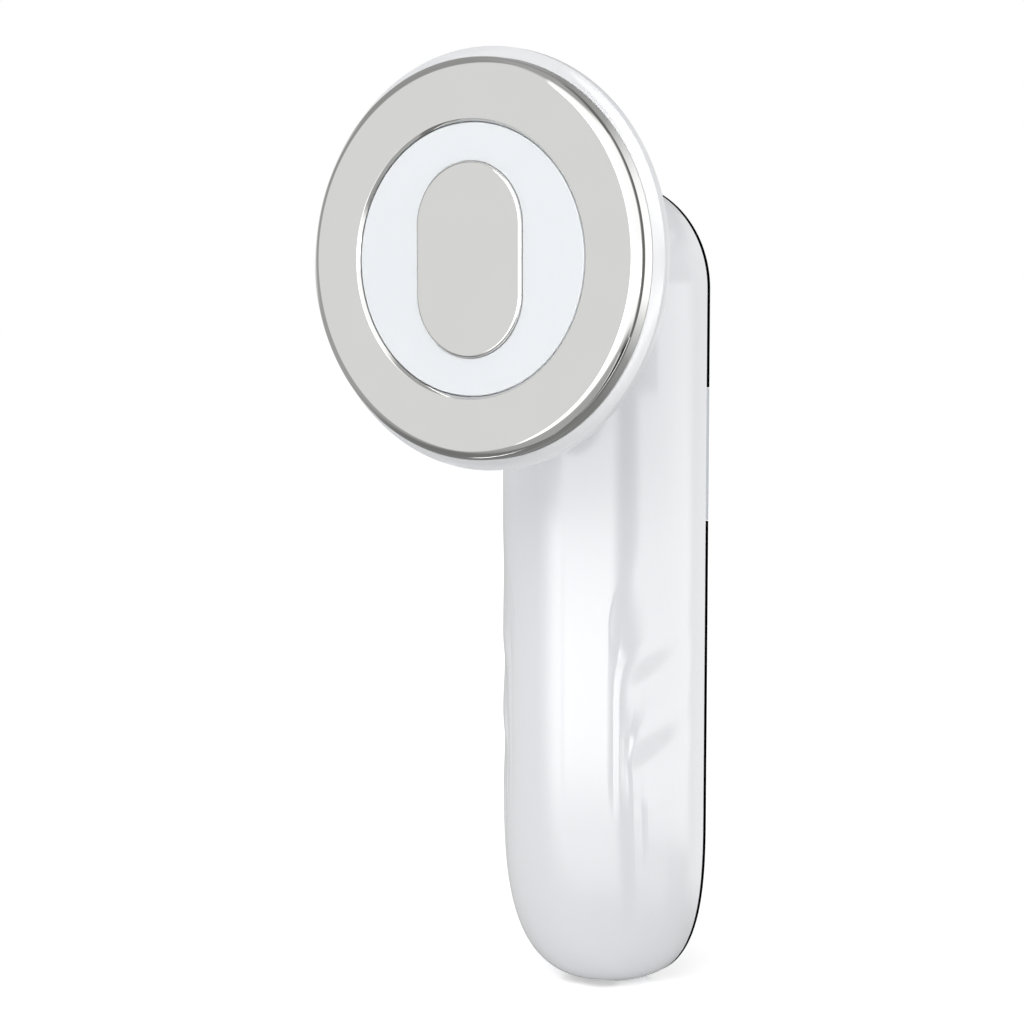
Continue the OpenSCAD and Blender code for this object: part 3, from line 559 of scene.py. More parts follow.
@dataclass(frozen=True)
class BlastedAluminium(TonedFinish):
    """Bead-blasted, clear anodised aluminium: an even silver grey with a fine grain."""

    name: str = "Blasted_Anodised_Aluminium"
    colour: str = "#BDBFC3"
    roughness: float = 0.42
    metallic: float = 1.0
    tint: str = "#B4B6BA"
    rough: Point2 = (0.38, 0.48)
    dimple: float = 0.15
    dimple_depth: float = 0.004

    def detail(self, surface: Surface) -> None:
        """Dimples of the beads.

        Args:
            surface: the material being made.
        """
        # Beads leave dimples of 0.06 mm, drawn 0.15 mm wide so that they show
        settings = {"Vector": surface.place, "Scale": per_mm(self.dimple), "Detail": 1.0}
        grain = add_node(surface.tree, "ShaderNodeTexNoise", settings)
        self.vary(surface, grain.outputs["Fac"])
        surface.relief(grain.outputs["Fac"], self.dimple_depth)


@dataclass(frozen=True)
class MilledEdge(TonedFinish):
    """Milled, clear anodised edge of an aluminium plate: a duller grey than its blasted face."""

    name: str = "Milled_Anodised_Edge"
    colour: str = "#A0A3A7"
    roughness: float = 0.5
    metallic: float = 1.0
    tint: str = "#989B9F"
    rough: Point2 = (0.45, 0.55)
    mark: float = 0.2
    stretch: Point3 = (1.0, 1.0, 0.1)

    def detail(self, surface: Surface) -> None:
        """Cutter marks that run along the edge.

        Args:
            surface: the material being made.
        """
        tree = surface.tree
        # The cutter leaves marks 0.03 mm apart, drawn 0.2 mm apart so that they show
        drawn = add_node(tree, "ShaderNodeMapping", {"Vector": surface.place, "Scale": self.stretch}).outputs[0]
        marks = add_node(tree, "ShaderNodeTexNoise", {"Vector": drawn, "Scale": per_mm(self.mark), "Detail": 1.0})
        self.vary(surface, marks.outputs["Fac"])


@dataclass(frozen=True)
class TurnedSteel(TonedFinish):
    """Key cap turned on a lathe and polished: fine rings around its middle."""

    name: str = "Turned_Polished_Steel"
    colour: str = "#CFD0D2"
    roughness: float = 0.16
    metallic: float = 1.0
    tint: str = "#C2C3C6"
    rough: Point2 = (0.14, 0.24)
    height: float = 0.0
    radian: float = 0.22
    ring_depth: float = 0.002
    wave_factor: float = 20.0
    wander: float = 0.4

    def detail(self, surface: Surface) -> None:
        """Tool marks that run round the key's own middle.

        Args:
            surface: the material being made.
        """
        middle = (0.0, 0.0, -self.height * MM)
        own = add_node(surface.tree, "ShaderNodeMapping", {"Vector": surface.place, "Location": middle})
        # A finishing cut leaves rings 0.05 mm apart. They are drawn 1.4 mm apart so that
        # they show: a radian of the wave is 0.22 mm, and Blender runs the wave 20 times faster
        settings = {
            "Vector": own.outputs[0],
            "Scale": per_mm(self.radian) / self.wave_factor,
            "Distortion": self.wander,
            "Detail": 1.0,
        }
        rings = add_node(surface.tree, "ShaderNodeTexWave", settings, wave_type="RINGS", rings_direction="Y")
        self.vary(surface, rings.outputs["Fac"])
        surface.relief(rings.outputs["Fac"], self.ring_depth)


@dataclass(frozen=True)
class GrainedPlastic(Finish):
    """Moulded plastic from an etched mould: a dull tone with a fine, even grain."""

    grain: float = 0.4
    grain_depth: float = 0.01
    spread: float = 0.08

    def detail(self, surface: Surface) -> None:
        """Etched grain.

        Args:
            surface: the material being made.
        """
        settings = {"Vector": surface.place, "Scale": per_mm(self.grain), "Detail": 2.0}
        grain = add_node(surface.tree, "ShaderNodeTexNoise", settings)
        surface.roughen(grain.outputs["Fac"], (self.roughness - self.spread, self.roughness + self.spread))
        surface.relief(grain.outputs["Fac"], self.grain_depth)


@dataclass(frozen=True)
class PlatedMetal(Finish):
    """Stamped or turned metal with a thin plating: plain shine with drawing marks."""

    metallic: float = 1.0
    mark: float = 0.3
    mark_depth: float = 0.003
    stretch: Point3 = (0.15, 1.0, 1.0)
    smoother: float = 0.07
    rougher: float = 0.1

    def detail(self, surface: Surface) -> None:
        """Drawing marks along one way.

        Args:
            surface: the material being made.
        """
        tree = surface.tree
        drawn = add_node(tree, "ShaderNodeMapping", {"Vector": surface.place, "Scale": self.stretch}).outputs[0]
        marks = add_node(tree, "ShaderNodeTexNoise", {"Vector": drawn, "Scale": per_mm(self.mark), "Detail": 2.0})
        surface.roughen(marks.outputs["Fac"], (self.roughness - self.smoother, self.roughness + self.rougher))
        surface.relief(marks.outputs["Fac"], self.mark_depth)


@dataclass(frozen=True)
class SolderMask(TonedFinish):
    """Glass-epoxy board under green solder mask: the copper shows through as lighter patches."""

    name: str = "Solder_Mask_On_Glass_Epoxy"
    colour: str = "#1F6B46"
    roughness: float = 0.32
    tint: str = "#2C8459"
    rough: Point2 = (0.28, 0.36)
    patch: float = 2.4
    patch_edge: Point2 = (0.22, 0.3)
    patch_depth: float = 0.03
    disorder: float = 0.35

    def detail(self, surface: Surface) -> None:
        """Copper under the mask, in patches 2.4 mm apart and about 1.2 mm wide.

        Args:
            surface: the material being made.
        """
        settings = {"Vector": surface.place, "Scale": per_mm(self.patch), "Randomness": self.disorder}
        cells = add_node(surface.tree, "ShaderNodeTexVoronoi", settings, distance="CHEBYCHEV")
        near, far = self.patch_edge
        limits = {"Value": cells.outputs["Distance"], "From Min": near, "From Max": far, "To Min": 0.0, "To Max": 1.0}
        bare = add_node(surface.tree, "ShaderNodeMapRange", limits)
        self.vary(surface, bare.outputs[0])
        surface.relief(bare.outputs[0], self.patch_depth)


FINISHES: dict[str, Finish] = {
    "shell_white": MouldedAbs(),
    "electrode_steel": PolishedSteel(),
    "milky_window": OpalPolycarbonate(),
    "gloss_black": GlossBlackAcrylic(),
    "control_silver": BlastedAluminium(),
    "inner_grey": GrainedPlastic("Glass_Filled_Nylon", "#74777B", 0.55),
    "rubber_dark": GrainedPlastic("Silicone_Rubber", "#1E1F21", 0.62, grain=0.6),
    "black_plastic": GrainedPlastic("Epoxy_Moulding_Compound", "#17181A", 0.5, grain=0.3),
    "steel": PlatedMetal("Nickel_Plated_Steel", "#9FA1A5", 0.3),
    "copper": PlatedMetal("Enamelled_Copper", "#C67C4C", 0.32, mark=0.2),
    "cell_foil": PlatedMetal("Aluminium_Laminate_Foil", "#B3B5BA", 0.38, mark=1.2),
    "board_green": SolderMask(),
    "led_white": GrainedPlastic("Phosphor_Silicone", "#F1EFD8", 0.35, grain=0.5),
    "lead_red": GrainedPlastic("Red_Lead_Insulation", "#A81F1C", 0.45, grain=0.8),
    "lead_yellow": GrainedPlastic("Yellow_Lead_Insulation", "#DDB131", 0.45, grain=0.8),
    "lead_blue": GrainedPlastic("Blue_Lead_Insulation", "#2C4FA0", 0.45, grain=0.8),
}


def place_piece(piece: bpy.types.Object, body: Body, slot: str, finish: Finish, *nodes: str) -> None:
    """Dresses a piece and ties it to the frame.

    Args:
        piece: the new piece.
        body: body that it rides on.
        slot: material slot, not used.
        finish: its finish.
        *nodes: CAD nodes that it stands for.
    """
    piece.data.materials.clear()
    piece.data.materials.append(finish.material())
    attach(piece, body.value)
    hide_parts(*nodes)
    LOG.info("%s: %d faces, %s", piece.name, len(piece.data.polygons), finish.name)


# ---------------------------------------------------------------- the head


@dataclass
class Head:
    """Electrode head: ring and centre electrode, light window, bezel and cup."""

    face_y: float = -22.7
    axis_z: float = 126.0
    head_r: float = 33.6
    ring_r: float = 31.8
    ring_flat_r: float = 30.0
    ring_edge: float = 1.8
    ring_bore_r: float = 21.7
    ring_wall_h: float = 4.6
    ring_wall_r: float = 30.4
    ring_face_rows: Point2 = (2.5, 5.2)
    sheet: float = 1.4
    lip: Point2 = (0.4, 0.5)
    lip_edge: float = 0.06
    centre_r: float = 10.1
    centre_half: float = 5.4
    centre_edge: float = 0.45
    window_r: float = 21.5
    window_hole_r: float = 10.15
    window_rim_r: float = 23.75
    window_front: float = 0.5
    window_rim_front: float = 1.7
    window_back: float = 2.6
    window_edge: float = 0.2
    window_rows: Point3 = (0.25, 0.5, 0.75)
    bezel_in_r: float = 31.82
    bezel_edge: float = 0.04
    bezel_front: float = 3.65
    bezel_slope: Point2 = (5.0, 30.0)
    bezel_back: float = 4.5
    bezel_rows: int = 24
    bezel_outer_start: float = 300.0
    spigot_r: float = 32.4
    spigot_wall: float = 1.0
    spigot_h: float = 1.2
    fit_gap: float = 0.1
    cup_front: float = 4.6
    cup_edge: float = 0.35
    cup_curve: float = 5.7
    cup_back: float = 21.9
    cup_slope: float = 0.76
    cup_bulge: float = 6.0
    cup_flare: float = 5.5
    cup_wall: float = 2.2
    cup_rows: int = 64
    cup_inner_start: float = 8.0
    cup_inner_step: int = 3
    carrier_seat: float = 7.6
    spigot_seat: float = 6.0
    carrier_r: float = 30.9
    neck_r: float = 13.9
    stem_r: float = 13.4
    stem_drop: float = 4.5
    stem_seat: float = 36.3
    thread_r: float = 12.3
    stem_end: float = 39.9
    bore_r: float = 9.6
    sides: int = 288

    def circle(self, radius: float, depth: float, drop: float = 0.0) -> Loop:
        """A circle around the head's axis.

        Args:
            radius: its radius.
            depth: distance behind the electrode face.
            drop: distance of its centre below the axis.

        Returns:
            The loop's points.
        """
        a = np.linspace(0, 2 * math.pi, self.sides, endpoint=False)
        return np.stack(
            [
                radius * np.cos(a),
                np.full(self.sides, self.face_y + depth),
                self.axis_z - drop + radius * np.sin(a),
            ],
            axis=1,
        )

    def stadium(self, radius: float, depth: float) -> Loop:
        """A long rounded loop with the electrode's straight sides, sampled by angle.

        Args:
            radius: half its width.
            depth: distance behind the electrode face.

        Returns:
            The loop's points.
        """
        a = np.linspace(0, 2 * math.pi, self.sides, endpoint=False)
        cos, sin = np.cos(a), np.sin(a)
        half = self.centre_half
        on_side = np.abs(sin) * radius <= half * np.abs(cos)
        round_part = half * np.abs(sin) + np.sqrt(np.maximum(radius**2 - (half * cos) ** 2, 0))
        reach = np.where(on_side, radius / np.maximum(np.abs(cos), NOUGHT), round_part)
        return np.stack(
            [reach * cos, np.full(self.sides, self.face_y + depth), self.axis_z + reach * sin],
            axis=1,
        )

    def ring_electrode(self) -> bpy.types.Object:
        """Ring with a lipped bore, a flat face, a rounded outer edge and a short wall.

        Returns:
            The ring electrode.
        """
        wide, deep = self.lip
        top = (self.ring_bore_r + wide, self.lip_edge)
        profile = [(self.ring_bore_r, deep)]
        profile += arc(top, self.lip_edge, 180 + math.degrees(math.atan2(wide, deep)), 270, steps=5)
        profile += [(self.ring_bore_r + reach, 0.0) for reach in self.ring_face_rows]
        profile += arc((self.ring_flat_r, self.ring_edge), self.ring_edge, 270, 360, steps=36)
        profile += [
            (self.ring_r, self.ring_wall_h),
            (self.ring_wall_r, self.ring_wall_h),
            (self.ring_wall_r, self.sheet),
            (self.ring_bore_r, self.sheet),
        ]
        return loft("ring_electrode_face", [self.circle(r, d) for r, d in profile])

    def centre_electrode(self) -> bpy.types.Object:
        """Long electrode with a rounded edge.

        Returns:
            The centre electrode.
        """
        edge = self.centre_edge
        side = arc((self.centre_r - edge, edge), edge, 0, -90, steps=20)
        loops = [self.stadium(self.centre_r, self.sheet)] + [self.stadium(r, d) for r, d in side]
        return loft("centre_electrode_face", loops, Ends.CAPPED)

    def light_window(self) -> bpy.types.Object:
        """Milky window with softened edges, 0.5 mm below the electrodes.

        Returns:
            The light window.
        """
        e, front = self.window_edge, self.window_front
        inner = arc((self.window_hole_r + e, front + e), e, 180, 270, steps=8)
        outer = arc((self.window_r - e, front + e), e, 270, 360, steps=8)
        loops = [self.stadium(self.window_hole_r, self.window_back)]
        loops += [self.stadium(r, d) for r, d in inner]
        first, last = loops[-1], self.circle(*outer[0])
        loops += [first + (last - first) * t for t in self.window_rows]
        loops += [self.circle(r, d) for r, d in outer]
        loops += [
            self.circle(self.window_r, self.window_rim_front),
            self.circle(self.window_rim_r, self.window_rim_front),
            self.circle(self.window_rim_r, self.window_back),
        ]
        return loft("milky_light_window", loops)

    def bezel_ring(self) -> bpy.types.Object:
        """White ring around the ring electrode, with a crowned front that falls outwards.

        Returns:
            The bezel ring.
        """
        r, back, edge = self.head_r, self.bezel_back, self.bezel_edge
        profile = arc((self.bezel_in_r + edge, self.bezel_front + edge), edge, 180, 270, steps=4)
        first, last = (math.radians(slope) for slope in self.bezel_slope)
        start, front = profile[-1]
        crown_r = (r - edge - start) / (math.sin(last) - math.sin(first))
        profile += [
            (start + crown_r * (math.sin(a) - math.sin(first)), front + crown_r * (math.cos(first) - math.cos(a)))
            for a in np.linspace(first, last, self.bezel_rows)[1:]
        ]
        profile += arc((r - edge, profile[-1][1] + edge), edge, self.bezel_outer_start, 360, steps=4)
        profile += arc((r - edge, back - edge), edge, 0, 90, steps=4)
        profile += [
            (self.spigot_r, back),
            (self.spigot_r, back + self.spigot_h),
            (self.spigot_r - self.spigot_wall, back + self.spigot_h),
            (self.spigot_r - self.spigot_wall, self.ring_wall_h + self.fit_gap),
            (self.bezel_in_r, self.ring_wall_h + self.fit_gap),
        ]
        return loft("bezel_trim", [self.circle(x, y) for x, y in profile])

    def cup_ring(self, t: float) -> tuple[float, float, float]:
        """Radius, depth and drop of the cup's outside.

        Args:
            t: 0 at the end of the straight side, 1 at the neck.

        Returns:
            Radius, depth behind the face, and drop of the centre.
        """
        weights = ((1 - t) ** 3, 3 * (1 - t) ** 2 * t, 3 * (1 - t) * t * t, t**3)
        radii = (self.head_r, self.head_r - self.cup_slope * self.cup_bulge, self.neck_r, self.neck_r)
        depths = (self.cup_curve, self.cup_curve + self.cup_bulge, self.cup_back - self.cup_flare, self.cup_back)
        radius = sum(w * r for w, r in zip(weights, radii))
        depth = sum(w * d for w, d in zip(weights, depths))
        return radius, depth, self.stem_drop * float(ease(t))

    def head_cup(self) -> bpy.types.Object:
        """Bowl that narrows to the stem, with its inner wall and the stem's bore.

        Returns:
            The head's cup.
        """
        edge, drop = self.cup_edge, self.stem_drop
        rings = [(self.head_r - edge, self.cup_front, 0.0)]
        rings += [(r, d, 0.0) for r, d in arc((self.head_r - edge, self.cup_front + edge), edge, 270, 360, steps=10)]
        outside = [self.cup_ring(float(t)) for t in np.linspace(0, 1, self.cup_rows)]
        rings += outside
        rings += [
            (self.stem_r, self.cup_back, drop),
            (self.stem_r, self.stem_seat, drop),
            (self.thread_r, self.stem_seat, drop),
            (self.thread_r, self.stem_end, drop),
            (self.bore_r, self.stem_end, drop),
            (self.bore_r, self.cup_back, drop),
        ]
        walls = [(r - self.cup_wall, d, z) for r, d, z in outside if d > self.cup_inner_start]
        inside = [wall for wall in walls if wall[0] > self.bore_r]
        rings += reversed(inside[:: self.cup_inner_step])
        rings += [
            (min(inside[0][0], self.carrier_r) - self.fit_gap, self.carrier_seat, 0.0),
            (self.carrier_r, self.carrier_seat, 0.0),
            (self.carrier_r, self.spigot_seat, 0.0),
            (self.spigot_r + self.fit_gap, self.spigot_seat, 0.0),
            (self.spigot_r + self.fit_gap, self.cup_front, 0.0),
        ]
        return loft("head_bowl", [self.circle(*ring) for ring in rings])

    def build(self) -> None:
        """Builds and dresses the head's pieces."""
        for piece, slot, node in (
            (self.ring_electrode(), "electrode_steel", "ring_electrode"),
            (self.centre_electrode(), "electrode_steel", "centre_electrode"),
            (self.light_window(), "milky_window", "light_window"),
            (self.bezel_ring(), "shell_white", "bezel_ring"),
            (self.head_cup(), "shell_white", "head_cup"),
        ):
            place_piece(piece, Body.DEVICE, slot, FINISHES[slot], node)


# ---------------------------------------------------------------- the grip


@dataclass(frozen=True)
class Groove:
    """A shallow groove that runs down the grip in front of a finger dish.

    Each row, from the top down, has the height, the angle of the front edge, the
    width and depth of the first fall, of the second fall, and the width of the rise,
    with angles in degrees and depths in millimetres.
    """

    rows: tuple[tuple[float, ...], ...]

    def depth(self, angle: np.ndarray, z: float) -> np.ndarray:
        """Depth at angles from the front, in one row.

        Args:
            angle: angles from the front in degrees.
            z: height of the row.

        Returns:
            The depth at each angle.
        """
        table = np.array(self.rows)[::-1]
        front, first, step, second, deep, rise = (float(np.interp(z, table[:, 0], column)) for column in table.T[1:])
        turns = np.cumsum([front, first, second, rise])
        return np.interp(angle, turns, [0.0, step, deep, 0.0])


@dataclass
class Grip:
    """Grip: the white front shell with its finger dishes."""

    back_y: float = 22.7
    half_w: float = 18.6
    seam: float = 1.0
    panel_t: float = 0.7
    side_wall: float = 2.1
    ellipse_d: float = 17.7
    wall: float = 2.0
    rim: float = 1.1
    ledge: float = 2.5
    arch_z: float = 121.5
    bottom_h: float = 31.5
    bottom_power: float = 3.0
    front_h: float = 63.0
    front_power: float = 3.8
    dish_zone: Point2 = (78.0, 31.5)
    dish_line: tuple[Point2, ...] = (
        (24.0, 0.0), (30.0, 0.05), (38.5, 0.4), (44.0, 0.03), (52.5, 0.4), (58.0, 0.02), (69.0, 0.2), (78.0, 0.0),
    )
    dish_front: float = 36.0
    dish_blend: float = 14.0
    dish_angle: float = 36.5
    dish_rise: float = 0.55
    dish_back: float = 88.0
    dish_fade: float = 40.0
    rows: tuple[int, int, int, int] = (40, 26, 120, 70)
    column_bands: tuple[tuple[float, int], ...] = ((30.0, 20), (57.0, 135), (90.0, 33))
    grooves: tuple[Groove, ...] = (
        Groove((
            (75.0, 36.5, 1.5, 0.0, 3.0, 0.0, 12.0), (72.0, 35.5, 1.5, 0.01, 3.0, 0.03, 14.0),
            (69.8, 33.0, 1.2, 0.04, 4.5, 0.1, 15.0), (66.3, 31.0, 1.2, 0.055, 5.5, 0.15, 16.0),
            (62.6, 31.0, 1.2, 0.055, 5.2, 0.17, 14.0), (60.8, 31.0, 2.6, 0.09, 2.8, 0.19, 8.0),
            (59.3, 31.0, 3.0, 0.09, 1.8, 0.19, 5.3), (58.0, 30.8, 2.6, 0.06, 1.5, 0.15, 4.6),
            (55.8, 30.6, 1.8, 0.04, 1.6, 0.11, 4.0), (52.3, 30.5, 1.8, 0.035, 1.4, 0.09, 3.3),
            (41.8, 30.5, 1.6, 0.035, 1.6, 0.09, 3.3), (38.2, 30.8, 1.0, 0.03, 1.8, 0.085, 3.3),
            (34.7, 30.9, 1.0, 0.015, 1.8, 0.05, 3.5), (31.2, 31.0, 1.0, 0.0, 2.0, 0.0, 3.5),
        )),
        Groove((
            (53.0, 38.0, 3.0, 0.0, 4.0, 0.0, 7.0), (49.6, 37.5, 3.0, 0.03, 4.0, 0.06, 7.0),
            (47.5, 36.9, 3.0, 0.1, 3.0, 0.15, 4.0), (45.3, 36.9, 2.7, 0.16, 2.6, 0.21, 2.8),
            (41.8, 36.9, 2.6, 0.13, 1.8, 0.165, 2.4), (38.2, 37.0, 2.3, 0.08, 2.9, 0.13, 2.2),
            (34.7, 37.1, 2.4, 0.04, 2.6, 0.07, 2.4), (31.2, 37.2, 2.4, 0.0, 2.6, 0.0, 2.4),
        )),
        Groove((
            (36.0, 45.0, 2.0, 0.0, 2.0, 0.0, 4.0), (33.5, 44.8, 2.0, 0.06, 2.3, 0.14, 3.6),
            (29.0, 44.8, 2.0, 0.07, 2.5, 0.16, 3.6), (25.0, 45.0, 2.0, 0.05, 2.5, 0.12, 3.8),
            (20.0, 45.5, 2.0, 0.0, 2.5, 0.0, 4.2),
        )),
    )
    inner_columns: int = 48
    stem_hole_r: float = 13.5
    slot_size: Point2 = (10.54, 4.76)
    slot_depth: float = 8.18
    stem_cut: Point2 = (-2.0, 15.0)
    slot_cut: Point2 = (-1.0, 5.0)
    hole_sides: int = 96
    sharp_angle: float = 40.0
    outline_rows: tuple[int, int, int, int] = (64, 2, 2, 90)

    def row(self, t: float, inset: float) -> tuple[float, float, float]:
        """Half-width, height and depth factor of a row.

        Args:
            t: 0 at the arch's top, 1 at its foot, 2 and 3 at the dish zone, 4 at the bottom.
            inset: distance inside the outline.

        Returns:
            The three values.
        """
        top, low = self.dish_zone
        if t <= 1:
            a = math.pi / 2 * t
            wide = self.half_w - inset
            return wide * math.sin(a), self.arch_z + wide * math.cos(a), math.sin(a)
        if t <= 2:
            z = self.arch_z + (top - self.arch_z) * (t - 1)
        elif t <= 3:
            z = top + (low - top) * (t - 2)
        else:
            a = math.pi / 2 * min(t - 3, 1.0)
            z = self.bottom_h - (self.bottom_h - inset) * math.sin(a) ** (2 / self.bottom_power)
            wide = (self.half_w - inset) * max(math.cos(a), 0.0) ** (2 / self.bottom_power)
            return wide, z, self.front_factor(z, inset)
        return self.half_w - inset, z, self.front_factor(z, inset)

    def front_factor(self, z: float, inset: float) -> float:
        """How far the front stands out at a height.

        Args:
            z: the height.
            inset: distance inside the outline.

        Returns:
            The share, from 0 at the bottom to 1.
        """
        if z >= self.front_h:
            return 1.0
        share = (self.front_h - z) / (self.front_h - inset)
        return max(0.0, 1 - min(share, 1.0) ** self.front_power) ** (1 / self.front_power)

    def dish(self, angle: np.ndarray, z: float) -> np.ndarray:
        """Depth of the finger dishes.

        Args:
            angle: angles from the front in degrees, all positive.
            z: height.

        Returns:
            The depth at each angle.
        """
        place = z - self.dish_rise * np.radians(angle - self.dish_angle) * self.half_w
        hollow = np.zeros_like(place)
        for (low, start), (high, end) in zip(self.dish_line, self.dish_line[1:]):
            part = start + (end - start) * ease((place - low) / (high - low))
            hollow = np.where((place >= low) & (place < high), part, hollow)
        hollow *= ease((angle - self.dish_front) / self.dish_blend) * ease((self.dish_back - angle) / self.dish_fade)
        return hollow + sum(groove.depth(angle, z) for groove in self.grooves)

    def outer(self, t: float) -> Loop:
        """The outer face in one row.

        Args:
            t: place of the row, from 0 at the top to 4 at the bottom.

        Returns:
            Points from the left seam to the right seam.
        """
        wide, z, factor = self.row(t, 0.0)
        right = np.zeros(1)
        for stop, steps in self.column_bands:
            right = np.r_[right, np.linspace(right[-1], stop, steps + 1)[1:]]
        degrees = np.r_[-right[:0:-1], right]
        sunk = self.dish(np.abs(degrees), z)
        a = np.radians(degrees)
        depth = self.seam + factor * (self.side_wall + self.panel_t - self.seam + self.ellipse_d * np.cos(a))
        x = (wide - sunk) * np.sin(a)
        y = self.back_y - (depth - sunk * np.cos(a))
        x, y = np.r_[x[0], x, x[-1]], np.r_[self.back_y - self.seam, y, self.back_y - self.seam]
        return np.stack([x, y, np.full_like(x, z)], axis=1)

    def inner(self, t: float) -> Loop:
        """The inner face in one row.

        Args:
            t: place of the row, from 0 at the top to 4 at the bottom.

        Returns:
            Points from the right rim to the left rim.
        """
        degrees = np.linspace(90, -90, self.inner_columns + 1)
        points = []
        for side in (1, -1):
            wide, z, _ = self.row(t, self.rim)
            edge = [(side * wide, self.seam, z), (side * wide, self.ledge, z)]
            points.append(edge if side > 0 else edge[::-1])
        wide, z, factor = self.row(t, self.wall)
        a = np.radians(degrees)
        reach = self.panel_t + self.side_wall - self.ledge
        depth = self.ledge + factor * (reach + (self.ellipse_d - self.wall) * np.cos(a))
        middle = [(wide * math.sin(s), d, z) for s, d in zip(a, depth)]
        start, end = (wide, self.ledge, z), (-wide, self.ledge, z)
        line = [*points[0], start, *middle, end, *points[1]]
        return np.array([(x, self.back_y - d, z) for x, d, z in line])

    def front_shell(self) -> bpy.types.Object:
        """The shell as one closed skin, outside and inside.

        Returns:
            The grip's shell.
        """
        steps = [np.linspace(i, i + 1, n, endpoint=False) for i, n in enumerate(self.rows)]
        loops = [np.vstack([self.outer(float(t)), self.inner(float(t))]) for t in [*np.concatenate(steps), 4.0]]
        piece = loft("grip_shell", loops, Ends.OPEN, self.sharp_angle, None)
        self.cut(piece, (self.stem_hole(), self.socket_slot()))
        return piece

    def stem_hole(self) -> bpy.types.Object:
        """Cutter of the round hole that the head's stem passes through.

        Returns:
            The cutter.
        """
        a = np.linspace(0, 2 * math.pi, self.hole_sides, endpoint=False)
        x, z = self.stem_hole_r * np.cos(a), self.arch_z + self.stem_hole_r * np.sin(a)
        loops = [np.stack([x, np.full_like(x, y), z], axis=1) for y in self.stem_cut]
        return loft("stem_cutter", loops, Ends.CAPPED)

    def socket_slot(self) -> bpy.types.Object:
        """Cutter of the charging socket's slot in the bottom.

        Returns:
            The cutter.
        """
        wide, high = self.slot_size
        half = (wide - high) / 2
        line = arc((half, 0.0), high / 2, -90, 90, steps=16) + arc((-half, 0.0), high / 2, 90, 270, steps=16)
        middle = self.back_y - self.slot_depth
        loops = [np.array([(x, middle + y, z) for x, y in line]) for z in self.slot_cut]
        return loft("socket_cutter", loops, Ends.CAPPED)

    @staticmethod
    def cut(piece: bpy.types.Object, cutters: Sequence[bpy.types.Object]) -> None:
        """Cuts holes into a piece and removes the cutters.

        Args:
            piece: the piece.
            cutters: closed solids to take away.
        """
        for cutter in cutters:
            modifier = piece.modifiers.new(cutter.name, "BOOLEAN")
            modifier.operation = "DIFFERENCE"
            modifier.solver = "MANIFOLD"
            modifier.object = cutter
        graph = bpy.context.evaluated_depsgraph_get()
        mesh = bpy.data.meshes.new_from_object(piece.evaluated_get(graph))
        piece.modifiers.clear()
        piece.data = mesh
        for cutter in cutters:
            bpy.data.objects.remove(cutter)

    def outline(self, low: float, high: float) -> list[Point2]:
        """The flat back's outline between two heights.

        Args:
            low: lower height.
            high: upper height.

        Returns:
            Points in X and Z, all the way round.
        """
        steps = [np.linspace(i, i + 1, n, endpoint=False) for i, n in enumerate(self.outline_rows)]
        line = [self.row(float(t), 0.0)[:2] for t in [*np.concatenate(steps), 4.0]]
        right = [(w, z) for w, z in line if low < z < high]
        if high < line[0][1]:
            right = [(self.half_w, high), *right]
        if low > line[-1][1]:
            right = [*right, (self.half_w, low)]
        left = [(-w, z) for w, z in reversed(right) if w > NOUGHT]
        return right + left

    def build(self) -> None:
        """Builds and dresses the grip's shell."""
        place_piece(self.front_shell(), Body.DEVICE, "shell_white", FINISHES["shell_white"], "front_shell")


